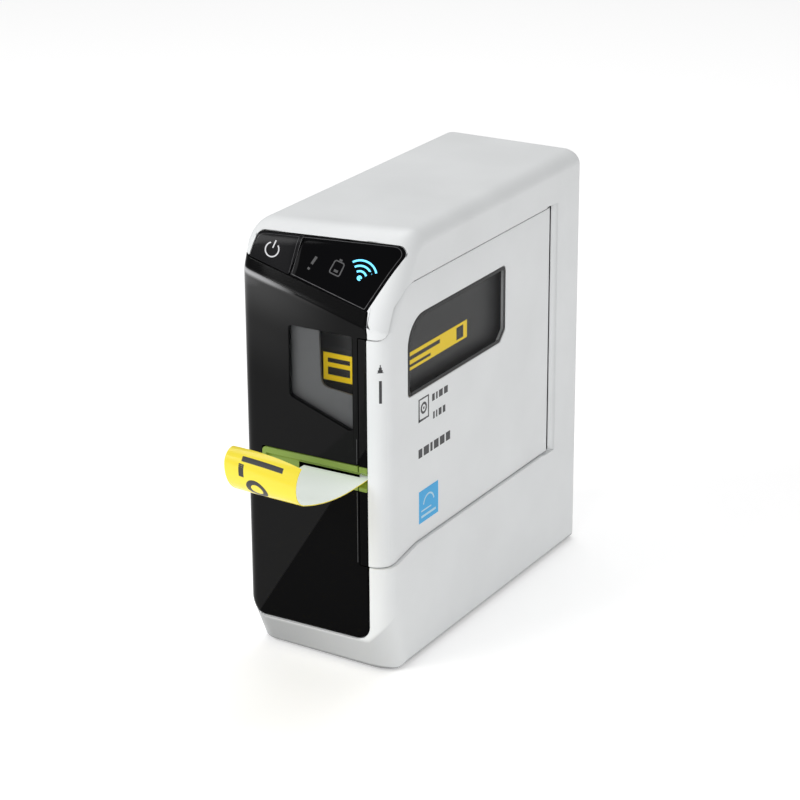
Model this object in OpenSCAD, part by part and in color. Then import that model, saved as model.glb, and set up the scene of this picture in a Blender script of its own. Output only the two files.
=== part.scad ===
// Desktop label maker: upright body, swing-out tape cover, tape cartridge,
// thermal print head, guillotine cutter and battery bay.
// Built with the front facing -Y and the tape cover on the +X side.

/* [Body] */
// Width of the body, across the bands above and below the tape cover
body_w = 54; // [54:0.5:66]
// Depth of the body, front panel to back
body_d = 132; // [130:1:160]
// Height of the body, foot to top
body_h = 146; // [144:1:176]
// Thickness of the moulded walls
wall = 2; // [1.6:0.1:2.4]
// Radius of the long top edges
top_r = 6; // [3:0.5:8]
// Radius of the upright edge between front panel and tape cover
column_r = 6.5; // [5:0.5:7]
// Radius of the upright edge on the left of the front
left_r = 4; // [2.5:0.5:5]
// Radius of the upright edges at the back
back_r = 2.5; // [1:0.5:4]
// Radius of the top where it rolls down to the controls
brow_r = 13; // [9:1:15]
// Height that the rubber feet stand out
foot_h = 0.6; // [0.4:0.1:1.2]
// Gap round every cover, button and panel
gap = 0.25; // [0.2:0.05:0.4]

/* [Control facet] */
// Distance from the top down to the middle of the crease below the controls
crease_drop = 22; // [20:0.5:24]
// Slope of the crease across the front, in degrees
crease_angle = 15.4; // [10:0.2:18]
// Lean of the control facet from upright, in degrees
facet_tilt = 27.4; // [24:0.2:30]
// Height of the black strip between the crease and the controls
seam_v = 4.6; // [3:0.2:6]
// Thickness of the clear control lens
lens_t = 1.6; // [1.2:0.1:2]
// Travel of the power button
button_travel = 0.5; // [0.3:0.1:0.8]

/* [Tape cover] */
// Distance from the top down to the top edge of the cover
cover_drop = 15.3; // [13:0.1:18]
// Height of the bottom edge of the cover
cover_z0 = 40.9; // [38:0.1:44]
// How far the cover is set in from the bands
cover_inset = 1; // [0.6:0.1:1.4]
// Distance from the back to the hinge axis
hinge_back = 22.4; // [20:0.2:26]
// Radius of the hinge barrel
barrel_r = 1.9; // [1.7:0.1:2.2]
// Radius of the hinge pins
hinge_pin_r = 1; // [0.8:0.1:1.2]
// Width of the black strip that the cover carries round to the front
strip_w = 3.1; // [2.4:0.1:4]

/* [Tape] */
// Width of the label tape
tape_w = 24; // [18:0.5:29]
// Thickness of the tape with its backing
tape_t = 0.3; // [0.2:0.05:0.4]
// Height of the tape path at the exit slot
slot_z = 68; // [66:0.5:70]
// Straight length of label in front of the panel
label_lead = 7.6; // [4:0.2:12]
// Radius of the gentle rise of the label
sag_r = 85; // [60:1:110]
// Radius of the curl at the end of the label
curl_r = 6.5; // [5:0.5:8]

/* [Cartridge] */
// Length of the tape cartridge
cart_len = 73; // [70:1:80]
// Height of the tape cartridge
cart_h = 56; // [54:1:60]
// Wall of the cartridge
cart_wall = 1.6; // [1.2:0.1:1.8]
// Radius of the wound tape
roll_r = 19.5; // [16:0.5:20]
// Radius of the platen roller
platen_r = 5; // [4:0.2:6]

/* [Drive] */
// Tooth module of the gears
gear_m = 0.8; // [0.7:0.05:0.85]
// Radius of the shafts and studs
shaft_r = 1.5; // [1.2:0.1:1.8]
// Running clearance of a shaft in its bore
running = 0.06; // [0.03:0.01:0.09]
// Travel of the cutter blade
cut_travel = 8; // [6:0.5:9]

/* [Power] */
// Diameter of a cell
cell_d = 14.5; // [14:0.1:14.8]
// Length of a cell with its button
cell_len = 50.5; // [49:0.1:50.6]
// Radius of the cover screws
screw_r = 1.1; // [0.9:0.1:1.4]

/* [Hidden] */
$fn = 48;

big = 400;

// Body
half_w = max(body_w, tape_w + 30) / 2;
front = -body_d / 2;
back = body_d / 2;
base_z = foot_h;
crease_z = body_h - crease_drop;
chin_z = 12;
chin_y = 7.5;
panel_z0 = 12.4;
panel_wrap = 5;
brow_back_r = 4;
sill_r = 2;

// Controls: middle of the button, and of each light
split_u = -half_w + 16.1;
split_run = -1.2;
v_split_top = 20;
button_uv = [-half_w + 7.3, 10];
light_uv = [[split_u + 5.2, 11.8], [split_u + 13.1, 13.4], [half_w - 16.5, 16]];
light_w = 3.2;
light_d = 7.4;
switch_d = 5.6;
button_t = 3;
stem_d = 4.3;

// Tape cover
cover_z1 = body_h - cover_drop;
cover_face = half_w - cover_inset;
cover_in = cover_face - wall;
rear_face = half_w - 0.4;
hinge_x = cover_face - barrel_r;
hinge_y = back - hinge_back;
barrel_gap = 0.35;
hinge_pin_len = 10;
latch_y = front + 20;
corner_z0 = cover_z0 - 2.7;
corner_z1 = cover_z1 - 15.4;
black_x1 = cover_face - column_r;
strip_x0 = black_x1 - strip_w;
window_z0 = cover_z1 - 38.4;
window_z1 = cover_z1 - 12.4;
window_y0 = front + 15;
window_y1 = hinge_y - 30.6;

// Front window and exit slot
view_x0 = strip_x0 - 25.5;
view_x1 = strip_x0 - 2.2;
view_z1 = cover_z1 - 15.4;
view_left_z = cover_z1 - 38.9;
view_right_z = cover_z1 - 47.2;
trim_x0 = -half_w + 7;
trim_z0 = slot_z - 4;
trim_z1 = slot_z + 4.5;
trim_depth = 2.8;
slot_h = 2.4;

// Cartridge and tape
cart_x1 = cover_in - 1.2;
cart_x0 = cart_x1 - tape_w - 5.8;
tape_x1 = cart_x1 - 3.8;
tape_x0 = tape_x1 - tape_w;
cart_y0 = front + 9.8;
cart_y1 = cart_y0 + cart_len;
cart_z0 = slot_z - 8;
cart_z1 = cart_z0 + cart_h;
lid_x0 = cart_x1 - cart_wall;
recess_y = cart_y0 + 18.2;
recess_z = slot_z - 1;
platen_y = front + 12 + platen_r;
platen_z = slot_z + tape_t / 2 + platen_r;
roll_y = cart_y1 - cart_wall - roll_r - 1;
roll_z = cart_z1 - cart_wall - roll_r - 2;
roll_core_r = 9;
core_bore_r = 7.2;
supply_y = platen_y + 20;
supply_z = slot_z + 10.5;
supply_r = 7;
takeup_wound_r = 6;
spool_bore_r = 3;
spindle_r = 2.9;
guide_y = recess_y + 4;
blade_t = 0.5;
carriage_y0 = front + 4;
carriage_y1 = front + 6.8;
cut_y = carriage_y1 + blade_t / 2;
cut_gap = 0.65;

// Chassis
plate_x1 = cart_x0 - 1;
plate_x0 = plate_x1 - wall;
floor_z0 = cover_z0 + 1.1;
floor_z1 = floor_z0 + wall;
ceiling_z1 = cover_z1 - 0.7;
ceiling_z0 = ceiling_z1 - wall;
frame_x1 = cover_in - 0.4;
frame_y0 = front + 3.9;

// Gear train, worked out from the platen so that every pair is in mesh
platen_teeth = 20;
idler_teeth = 24;
takeup_teeth = 20;
pinion_teeth = 12;
platen_gear_r = gear_m * platen_teeth / 2;
idler_gear_r = gear_m * idler_teeth / 2;
takeup_gear_r = gear_m * takeup_teeth / 2;
pinion_gear_r = gear_m * pinion_teeth / 2;
idler_dir = 40;
pinion_dir = 20;
takeup_dir = 100;
idler_y = platen_y + (platen_gear_r + idler_gear_r) * cos(idler_dir);
idler_z = platen_z + (platen_gear_r + idler_gear_r) * sin(idler_dir);
pinion_y = idler_y + (idler_gear_r + pinion_gear_r) * cos(pinion_dir);
pinion_z = idler_z + (idler_gear_r + pinion_gear_r) * sin(pinion_dir);
takeup_y = idler_y + (idler_gear_r + takeup_gear_r) * cos(takeup_dir);
takeup_z = idler_z + (idler_gear_r + takeup_gear_r) * sin(takeup_dir);
idler_phase = mesh_phase(0, idler_dir, platen_teeth, idler_teeth);
pinion_phase = mesh_phase(idler_phase, pinion_dir, idler_teeth, pinion_teeth);
takeup_phase = mesh_phase(idler_phase, takeup_dir, idler_teeth, takeup_teeth);
gear_t = 3.5;
gear_x0 = plate_x0 - 1 - gear_t;
motor_r = 11;
motor_x0 = -half_w + wall + 0.4;
motor_x1 = gear_x0 - 0.7;

// Print head
arm_pin_y = platen_y + 13;
arm_pin_z = slot_z - 13;
arm_hub_r = 3;
arm_t = 3;
head_x0 = tape_x0 - 0.2;
head_x1 = tape_x1 + 0.8;
head_top = slot_z - tape_t / 2 - 0.1;
arm_z0 = arm_pin_z + 1;

// Cutter
carriage_z0 = slot_z + 10.5;
carriage_z1 = carriage_z0 + 6;
carriage_x1 = tape_x1 + 3;
rod_r = 0.8;
rod_right_x = tape_x1 + 1.5;
rack_teeth = 5;
tooth_pitch = PI * gear_m;
rack_pitch_y = carriage_y1 + 1.25 * gear_m;
cutter_pinion_y = rack_pitch_y + pinion_gear_r;
cutter_pinion_z = takeup_z - 4.7;
cutter_motor_r = 6;
rod_left_x = gear_x0 - 2.5;
rod_y0 = (carriage_y0 + carriage_y1) / 2;

// Boards and sockets
board_z0 = base_z + 7.4;
board_t = 1.6;
board_top = board_z0 + board_t;
usb_x = -2;
dc_x = 9;
dc_z = board_top + 5.5;
usb_z = board_top + 2;

// Batteries
cell_gap = 0.2;
cell_x = -half_w + wall + 0.3 + cell_d / 2;
cell_pitch = cell_d + cell_gap;
tray_wall = 0.8;
tray_y1 = back - wall - 1.4;
tray_y0 = tray_y1 - 3 * cell_pitch - cell_gap - 2 * tray_wall;
tray_z0 = base_z + 16.4;
contact_h = 2.2;
tray_z1 = tray_z0 + 2 * cell_len + 2 * contact_h + 2 * tray_wall;
hatch_y0 = tray_y0 + 2;
hatch_y1 = tray_y1 - 2;
hatch_z0 = tray_z0 + 4;
hatch_z1 = tray_z1 - 4;

// Fasteners and feet
screw_x = half_w - 8.5;
screw_front_y = front + 17;
screw_back_y = back - 8;
screw_seat = 1.25;
screw_head_h = 0.9;
boss_r = 3;
boss_z1 = base_z + 14;
foot_x = half_w - 9;
foot_front_y = front + 24;
foot_back_y = back - 18;
foot_r = 4;
base_in = 5;
base_y0 = front + chin_y + wall + 2.5;
base_y1 = back - 5;
base_lip = 0.95;

// Label outside the slot: straight, then a gentle rise, then a curl
rise_angle = 20;
curl_end = 170;
label_y0 = cut_y - blade_t / 2 - cut_gap;
label_y1 = front - label_lead;
label_y2 = label_y1 - sag_r * sin(rise_angle);
label_z2 = slot_z + sag_r * (1 - cos(rise_angle));
curl_y = label_y2 + curl_r * sin(rise_angle);
curl_z = label_z2 + curl_r * cos(rise_angle);
label_tip_y = curl_y - curl_r - tape_t / 2;
body_shift = -(label_tip_y + back) / 2;

// ---------------------------------------------------------------- functions

// Rotation that puts gear B's gap on gear A's tooth, for a B that lies at angle dir from A
function mesh_phase(phase_a, dir, teeth_a, teeth_b) =
    dir + 180 - (phase_a - dir) * teeth_a / teeth_b - 180 / teeth_b;

// One straight-sided gear tooth after another, as points round a circle
function gear_points(teeth, m) = [
    for (i = [0:teeth - 1])
        for (p = [[-0.42, -1.2], [-0.2, 0], [-0.09, 0.85], [0.09, 0.85], [0.2, 0], [0.42, -1.2]])
            let (r = m * teeth / 2 + p[1] * m, a = (i + p[0]) * 360 / teeth)
                [r * cos(a), r * sin(a)]
];

// A point of a band of thickness t that follows a list of [y, z, heading]
function band_side(path, s) = [for (p = path) [p[0] + s * sin(p[2]), p[1] + s * cos(p[2])]];
function reversed(a) = [for (i = [len(a) - 1:-1:0]) a[i]];
function label_path() = concat(
    [[label_y0, slot_z, 0], [label_y1, slot_z, 0]],
    [for (i = [1:6]) let (a = rise_angle * i / 6)
        [label_y1 - sag_r * sin(a), slot_z + sag_r * (1 - cos(a)), a]],
    [for (i = [1:15]) let (a = rise_angle + (curl_end - rise_angle) * i / 15)
        [curl_y - curl_r * sin(a), curl_z - curl_r * cos(a), a]]
);

// Side outline of the tape cover, drawn in by g all round
function cover_outline(g) = [
    [hinge_y, cover_z0 + g], [hinge_y, cover_z1 - g],
    [front + 13.5, cover_z1 - g], [front + 8.6 + g / 2, cover_z1 - 1.7 - g],
    [front + 5.6 + g, cover_z1 - 5.2 - g / 2], [front + 3.6 + g, cover_z1 - 11.2],
    [front + 1.8 + g / 2, corner_z1 - g], [front - 9, corner_z1 - g],
    [front - 9, corner_z0 + g], [front + 3, corner_z0 + g], [front + 7, corner_z0 + 0.5 + g],
    [front + 16, cover_z0 + g]
];

// ------------------------------------------------------------------ helpers

module placed() translate([0, body_shift, 0]) children();

// Square corner less its round, for the corner at the origin
module corner_cut(r) difference() {
    translate([-1, -1]) square(r + 1);
    translate([r, r]) circle(r);
}

// Rectangle with its own radius at bottom left, bottom right, top right and top left
module round_rect(x0, y0, x1, y1, r) difference() {
    translate([x0, y0]) square([x1 - x0, y1 - y0]);
    if (r[0] > 0) translate([x0, y0]) corner_cut(r[0]);
    if (r[1] > 0) translate([x1, y0]) mirror([1, 0]) corner_cut(r[1]);
    if (r[2] > 0) translate([x1, y1]) rotate(180) corner_cut(r[2]);
    if (r[3] > 0) translate([x0, y1]) mirror([0, 1]) corner_cut(r[3]);
}

// Drawn in Y and Z, extruded along X
module along_x(x0, x1) translate([x0, 0, 0]) rotate([90, 0, 90]) linear_extrude(x1 - x0) children();
// Drawn in X and Z, extruded along Y
module along_y(y0, y1) translate([0, y1, 0]) rotate([90, 0, 0]) linear_extrude(y1 - y0) children();
module block(x0, x1, y0, y1, z0, z1) translate([x0, y0, z0]) cube([x1 - x0, y1 - y0, z1 - z0]);
module rod_x(x0, x1, y, z, r) translate([x0, y, z]) rotate([90, 0, 90]) cylinder(r = r, h = x1 - x0);
module rod_y(y0, y1, x, z, r) translate([x, y1, z]) rotate([90, 0, 0]) cylinder(r = r, h = y1 - y0);
module tube_x(x0, x1, y, z, r, bore) difference() {
    rod_x(x0, x1, y, z, r);
    rod_x(x0 - 1, x1 + 1, y, z, bore);
}

// The control facet's own frame: X along the crease, Z up the facet, -Y out of it
module on_facet() translate([0, front, crease_z]) rotate([0, crease_angle, 0])
    rotate([-facet_tilt, 0, 0]) children();
// A flat shape on the facet, from depth d0 to depth d1 below it
module facet_slab(d0, d1) on_facet() rotate([90, 0, 0]) translate([0, 0, -d1])
    linear_extrude(d1 - d0) children();

// Outer form of the body, drawn in by t; x1 is its right-hand face
module form(t, x1) difference() {
    intersection() {
        along_x(-half_w + t, x1) difference() {
            round_rect(front + t, base_z + t, back - t, body_h - t,
                [0, sill_r, max(brow_back_r - t, 1), brow_r - t]);
            polygon([[front + t - 1, base_z + t - 1], [front + t - 1, chin_z + t * 0.6],
                [front + t, chin_z + t * 0.6], [front + chin_y + t, base_z + t], [front + chin_y + t, base_z + t - 1]]);
        }
        along_y(front + t, back - t)
            round_rect(-half_w + t, base_z + t, x1, body_h - t, [1, 1, max(top_r - t, 1), max(top_r - t, 1)]);
        translate([0, 0, base_z + t]) linear_extrude(body_h - base_z - 2 * t)
            round_rect(-half_w + t, front + t, x1, back - t,
                [max(left_r - t, 0.5), max(column_r - t, 1), max(back_r - t, 0.5), max(back_r - t, 0.5)]);
    }
    on_facet() block(-big / 4, big / 4, -big / 4, t, -big / 4, big / 4);
}

// Outline of the control panel on its facet, drawn in by g
module control_outline(g) {
    u1 = half_w - 9.4;
    v1 = crease_drop + 6;
    polygon([[-half_w - 3, seam_v + g], [-half_w - 3, v1 - 17.5 - g], [-half_w + 0.4, v1 - 14.1 - g],
        [u1 - g, v1 - g], [u1 + 1.6 - g, v1 - 0.3 - g], [u1 + 2.6 - g, v1 - 1.1 - g],
        [u1 + 3 - g, v1 - 2.3 - g], [u1 - g, seam_v + g]]);
}

// Side of the control panel to the right of the split, or to its left
module control_right(g) polygon([[split_u + g, seam_v - 1],
    [split_u + split_run + g, v_split_top], [big, big], [big, seam_v - 1]]);

// Part of the front that the black panel covers, drawn in by g; the band beside the cover strip is left out
module panel_zone(g) difference() {
    along_y(front - 4, front + panel_wrap + 4 - g)
        round_rect(-half_w - 9, panel_z0 + g, black_x1 - g, crease_z + 12, [0, 5, 0, 0]);
    block(strip_x0 - g, half_w, front - 9, front + 30, corner_z0 - g, corner_z1 + g);
    block(-half_w + left_r, big, front + panel_wrap - 2.6, front + 30, 0, big);
    block(-big, big, front + panel_wrap - g, front + 30, 0, big);
    on_facet() block(-big / 4, big / 4, -9, big / 4, seam_v - g, big / 4);
}

// Front window, drawn in by g
module view_outline(g) polygon([[view_x0 + g, view_left_z + g], [view_x1 - g, view_right_z + g],
    [view_x1 - g, view_z1 - g], [view_x0 + g, view_z1 - g]]);

// Side window, drawn in by g
module side_window(g) difference() {
    round_rect(window_y0 + g, window_z0 + g, window_y1 - g, window_z1 - g, [1, 2, 1, 9]);
    translate([window_y1 - g, window_z0 + g]) rotate(45) square([6, 6], center = true);
}

module gear(teeth, m, phase, x0, t, y, z, bore) difference() {
    translate([x0, y, z]) rotate([90, 0, 90]) rotate(phase) linear_extrude(t) polygon(gear_points(teeth, m));
    rod_x(x0 - 1, x0 + t + 1, y, z, bore);
}

// ---------------------------------------------------------------- enclosure

module main_shell() placed() color("whitesmoke") {
    difference() {
        intersection() {
            form(0, half_w);
            union() {
                block(-big, cover_face + 0.001, -big, big, 0, big);
                block(-big, big, -big, big, cover_z1, big);
                block(-big, big, -big, big, 0, cover_z0);
                // the ramp beside the hinge and the flat behind it
                translate([0, 0, cover_z0 - 1]) linear_extrude(cover_z1 - cover_z0 + 2)
                    polygon([[cover_face - 3, hinge_y + 2.7], [cover_face - 0.6, hinge_y + 2.7],
                        [rear_face, hinge_y + 4.7], [rear_face, back + 1], [cover_face - 3, back + 1]]);
            }
        }
        form(wall, cover_in);
        // openings for the base, the black panel and the controls
        block(-half_w + base_in, half_w - base_in, base_y0, base_y1, -1, base_z + wall + 1);
        panel_zone(-gap);
        facet_slab(-9, wall + 2) control_outline(-gap);
        // opening for the tape cover and its hinge barrel
        along_x(strip_x0, half_w + 9) polygon(cover_outline(0));
        translate([hinge_x, hinge_y, cover_z0]) cylinder(r = barrel_r + barrel_gap, h = cover_z1 - cover_z0);
        block(hinge_x, half_w + 1, hinge_y - 0.1, hinge_y + 2.7, cover_z0, cover_z1);
        translate([hinge_x, hinge_y, cover_z0 - 4]) cylinder(r = hinge_pin_r, h = cover_z1 - cover_z0 + 8);
        // battery hatch and rear sockets
        block(-half_w - 1, -half_w + wall + 1, hatch_y0, hatch_y1, hatch_z0, hatch_z1);
        rod_y(back - wall - 1, back + 1, dc_x, dc_z, 4.5);
        block(usb_x - 4.2, usb_x + 4.2, back - wall - 1, back + 1, usb_z - 2.3, usb_z + 2.3);
    }
    for (x = [-screw_x, screw_x], y = [screw_front_y, screw_back_y]) difference() {
        union() {
            translate([x, y, base_z + wall + 1.3]) cylinder(r = boss_r, h = boss_z1 - base_z - wall - 1.3);
            block(min(x, sign(x) * (half_w - wall + 0.2)), max(x, sign(x) * (half_w - wall + 0.2)),
                y - 0.8, y + 0.8, base_z + wall + 1.3, boss_z1);
        }
        translate([x, y, 0]) cylinder(r = screw_r, h = boss_z1 - 2);
    }
    // blocks that hold the hinge pins
    for (z = [cover_z0 - 5, cover_z1 + 0.4]) difference() {
        block(hinge_x - 3, cover_in + 0.2, hinge_y - 3, hinge_y + 3, z, z + 4.6);
        translate([hinge_x, hinge_y, z - 1]) cylinder(r = hinge_pin_r, h = 7);
    }
}

module base_cover() placed() color("gainsboro") difference() {
    union() {
        block(-half_w + base_in + gap, half_w - base_in - gap, base_y0 + gap, base_y1 - gap, base_z, base_z + wall + 0.05);
        block(-half_w + base_in - base_lip, half_w - base_in + base_lip, base_y0 - base_lip, base_y1 + base_lip,
            base_z + wall + 0.05, base_z + wall + 1.25);
        for (x = [-12, 12], y = [front + 40, back - 12]) difference() {
            translate([x, y, base_z + wall]) cylinder(r = 2.5, h = board_z0 - base_z - wall);
            translate([x, y, base_z + wall + 2]) cylinder(r = 0.9, h = 9);
        }
    }
    for (x = [-foot_x, foot_x], y = [foot_front_y, foot_back_y])
        translate([x, y, -1]) cylinder(r = foot_r + 0.1, h = base_z + 1.8);
    for (x = [-screw_x, screw_x], y = [screw_front_y, screw_back_y]) {
        translate([x, y, -1]) cylinder(r = screw_r + 0.15, h = 9);
        translate([x, y, -1]) cylinder(r = screw_r + 1.2, h = base_z + screw_seat + 1);
    }
}

module front_panel() placed() color("black") difference() {
    intersection() {
        difference() {
            form(0, half_w);
            form(wall, half_w - wall);
        }
        panel_zone(0);
    }
    along_y(front - 9, front + 9) view_outline(0);
    block(trim_x0, strip_x0 + 9, front - 9, front + 9, trim_z0, trim_z1);
}

module front_window() placed() color("dimgray", 0.6) {
    along_y(front + 0.3, front + wall) view_outline(gap / 2);
    along_y(front + wall, front + wall + 0.8) view_outline(-1.2);
}

module control_lens() placed() color("black", 0.9)
    facet_slab(0.15, lens_t) intersection() {
        control_outline(gap + 0.9);
        control_right(gap);
    }

module control_bezel() placed() color("dimgray") {
    facet_slab(0.5, lens_t) intersection() {
        difference() {
            control_outline(gap);
            control_outline(gap + 0.9);
        }
        control_right(gap);
    }
    facet_slab(lens_t, lens_t + 1) difference() {
        intersection() {
            control_outline(gap);
            control_right(gap);
        }
        for (p = light_uv) translate([p[0] - light_w / 2 - 0.2, p[1] - light_w / 2 - 0.2]) square(light_w + 0.4);
    }
}

module power_button() placed() color("black") {
    intersection() {
        form(0.15, half_w);
        facet_slab(0, button_t) difference() {
            control_outline(gap);
            control_right(-gap / 2);
        }
    }
    facet_slab(button_t, stem_d) translate(button_uv) circle(2.2);
}

module control_board() placed() color("darkgreen")
    facet_slab(light_d, light_d + 1.2) polygon([[-23, 4], [-23, 13], [12, 22], [13, 22], [12, 4]]);

module button_switch() placed() color("silver") {
    facet_slab(switch_d, light_d) translate([button_uv[0] - 3, button_uv[1] - 3]) square(6);
    facet_slab(stem_d + button_travel + 0.1, switch_d) translate(button_uv) circle(1.6);
}

module status_leds() placed() color("lightcyan")
    for (p = light_uv)
        facet_slab(lens_t + 0.2, light_d) translate([p[0] - light_w / 2, p[1] - light_w / 2]) square(light_w);

module exit_trim() placed() color("yellowgreen") difference() {
    along_y(front - 0.4, front + trim_depth)
        round_rect(trim_x0 + 0.1, trim_z0 + 0.1, strip_x0 - 0.1, trim_z1 - 0.1, [1.5, 0, 0, 1.5]);
    block(tape_x0 - 1.2, half_w, front - 9, front + 9, slot_z - slot_h / 2, slot_z + slot_h / 2);
}

module tape_cover() placed() color("white") difference() {
    union() {
        difference() {
            intersection() {
                form(0, cover_face);
                along_x(black_x1 + 0.05, half_w) polygon(cover_outline(gap));
            }
            form(wall, cover_in);
        }
        translate([hinge_x, hinge_y, cover_z0 + gap]) cylinder(r = barrel_r, h = cover_z1 - cover_z0 - 2 * gap);
        // foot along the back of the corner, that carries the black strip
        intersection() {
            form(wall, cover_in + 0.2);
            block(strip_x0 + 0.6, black_x1 + 2.2, front + wall, front + wall + 1.2, corner_z0 + 1, corner_z1 - 1);
        }
    }
    along_x(cover_in - 1, half_w + 1) side_window(0);
    block(strip_x0, tape_x1 + 1.2, front + 1, front + 9, slot_z - slot_h / 2, slot_z + slot_h / 2);
    for (z = [cover_z0, cover_z1 - hinge_pin_len / 2])
        translate([hinge_x, hinge_y, z - 1]) cylinder(r = hinge_pin_r + running, h = hinge_pin_len / 2 + 1);
}

module cover_front_strip() placed() color("black") difference() {
    block(strip_x0 + gap, black_x1, front, front + wall - 0.02, corner_z0 + gap, corner_z1 - gap);
    block(strip_x0 - 1, half_w, front - 1, front + 9, trim_z0, trim_z1);
}

module cover_window() placed() color("dimgray", 0.5) {
    along_x(cover_in + 0.2, cover_face - 0.3) side_window(gap / 2);
}

module exit_trim_end() placed() color("yellowgreen") difference() {
    block(strip_x0 + gap, black_x1 - 0.05, front - 0.4, front + wall - 0.02, trim_z0 + 0.1, trim_z1 - 0.1);
    block(strip_x0 - 1, black_x1 + 1, front - 9, front + 9, slot_z - slot_h / 2, slot_z + slot_h / 2);
}

module cover_latch() placed() color("white") {
    block(cover_in - 5, cover_in, latch_y, latch_y + 4, cart_z1 + 4, cart_z1 + 5.6);
    rod_y(latch_y, latch_y + 4, cover_in - 4.2, cart_z1 + 5.6, 0.8);
}

module latch_catch() placed() color("dimgray") difference() {
    block(cover_in - 9, cover_in - 1, latch_y, latch_y + 4, cart_z1 + 5.9, ceiling_z0);
    rod_y(latch_y - 1, latch_y + 5, cover_in - 4.2, cart_z1 + 5.6, 1.15);
    block(cover_in - 4.2, cover_in, latch_y - 1, latch_y + 5, cart_z1 + 5, cart_z1 + 6.75);
}

module hinge_pins() placed() color("silver")
    for (z = [cover_z0 - 4, cover_z1 - hinge_pin_len / 2 + 0.6])
        translate([hinge_x, hinge_y, z]) cylinder(r = hinge_pin_r, h = hinge_pin_len / 2 + 3.4);

module inner_frame() placed() color("dimgray") difference() {
    union() {
        block(plate_x0, plate_x1, cart_y0 - 1, back - wall - 0.3, board_top + 3, ceiling_z1);
        block(plate_x0, frame_x1, frame_y0, hinge_y + 2.4, floor_z0, floor_z1);
        block(plate_x0, frame_x1, cart_y0 + 8, hinge_y + 2.4, ceiling_z0, ceiling_z1);
        block(rod_left_x - 2, plate_x0 + 1, frame_y0, cart_y0, floor_z0, floor_z1);
        block(plate_x0, hinge_x - barrel_r - 1, hinge_y + 0.4, hinge_y + 2.4, floor_z0, ceiling_z1);
    }
    // room for the barrel, for the corner of the cover and for the control board
    translate([hinge_x, hinge_y, 0]) cylinder(r = barrel_r + 1.2, h = big);
    block(cover_in - 2.2, big, front, front + 9, 0, big);
    on_facet() block(-big / 4, big / 4, -9, light_d + 1.6, -9, big / 4);
    // shafts, stud and the cutter's arm
    rod_x(plate_x0 - 1, plate_x1 + 1, platen_y, platen_z, shaft_r + running);
    rod_x(plate_x0 - 1, plate_x1 + 1, takeup_y, takeup_z, spindle_r + running);
    rod_x(plate_x0 - 1, plate_x1 + 1, idler_y, idler_z, 1);
    rod_x(plate_x0 - 1, plate_x1 + 1, arm_pin_y, arm_pin_z, 1);
    for (x = [rod_left_x, rod_right_x]) translate([x, rod_y0, 0]) cylinder(r = rod_r, h = slot_z - 8);
}

// ---------------------------------------------------------------- cartridge

module cartridge_side(x0, x1) difference() {
    along_x(x0, x1) round_rect(cart_y0, cart_z0, cart_y1, cart_z1, [1, 3, 3, 3]);
    block(x0 - 1, x1 + 1, cart_y0 - 1, recess_y, cart_z0 - 1, recess_z);
    block(x0 - 1, x1 + 1, cart_y0 - 1, cart_y0 + cart_wall + 0.2, cart_z0 - 1, slot_z + 1.2);
}

module cartridge_case() placed() color("darkslategray") {
    difference() {
        cartridge_side(cart_x0, lid_x0);
        difference() {
            along_x(cart_x0 + cart_wall, lid_x0 + 1)
                round_rect(cart_y0 + cart_wall, cart_z0 + cart_wall, cart_y1 - cart_wall, cart_z1 - cart_wall, [1, 2, 2, 2]);
            block(cart_x0, cart_x1, recess_y, recess_y + cart_wall, cart_z0, recess_z - 1);
        }
        rod_x(cart_x0 - 1, cart_x0 + 3, platen_y, platen_z, shaft_r + running);
        rod_x(cart_x0 - 1, cart_x0 + 3, takeup_y, takeup_z, spindle_r + 0.3);
    }
    // bosses for the rolls and a post that turns the tape
    tube_x(cart_x0 + cart_wall, lid_x0 - 0.1, roll_y, roll_z, core_bore_r - running, core_bore_r - 2);
    rod_x(cart_x0 + cart_wall, lid_x0 - 0.1, supply_y, supply_z, spool_bore_r - running);
    rod_x(cart_x0 + cart_wall, lid_x0 - 0.1, guide_y, slot_z - 1.95, 1.5);
}

module cartridge_lid() placed() color("darkslategray") difference() {
    cartridge_side(lid_x0, cart_x1);
    rod_x(lid_x0 - 1, cart_x1 + 1, platen_y, platen_z, shaft_r + running);
    rod_x(lid_x0 - 1, cart_x1 + 1, takeup_y, takeup_z, spindle_r + 0.3);
}

module cartridge_labels() placed() color("gold") {
    block(cart_x1, cart_x1 + 0.2, cart_y0 + 4, cart_y0 + 42, cart_z1 - 20, cart_z1 - 3);
    block(tape_x1 - 14, tape_x1 - 4, cart_y0 - 0.2, cart_y0, cart_z1 - 17, cart_z1 - 8);
}

module tape_roll() placed() color("yellow")
    tube_x(tape_x0, tape_x1, roll_y, roll_z, roll_r, roll_core_r);

module tape_core() placed() color("lightgray")
    tube_x(tape_x0, tape_x1, roll_y, roll_z, roll_core_r, core_bore_r);

module ribbon_supply() placed() color("darkslateblue")
    tube_x(tape_x0, tape_x1, supply_y, supply_z, supply_r, spool_bore_r);

module ribbon_takeup() placed() color("black")
    tube_x(tape_x0, tape_x1, takeup_y, takeup_z, takeup_wound_r, spool_bore_r);

module tape_lead() placed() color("yellow") along_x(tape_x0, tape_x1) {
    // from under the roll, over the post, under the platen and up to the cutter
    slope_y0 = roll_y - 4;
    slope_z0 = roll_z - roll_r - 0.2;
    polygon([[slope_y0, slope_z0], [slope_y0, slope_z0 - tape_t], [guide_y, slot_z - 0.15 - tape_t / 2],
        [cut_y + blade_t / 2 + cut_gap, slot_z - tape_t / 2], [cut_y + blade_t / 2 + cut_gap, slot_z + tape_t / 2 - 0.05],
        [guide_y, slot_z + tape_t / 2 - 0.05]]);
}

module label_strip() placed() color("yellow") along_x(tape_x0, tape_x1)
    polygon(concat(band_side(label_path(), tape_t / 2), reversed(band_side(label_path(), -tape_t / 2))));

// --------------------------------------------------------------- feed drive

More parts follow.
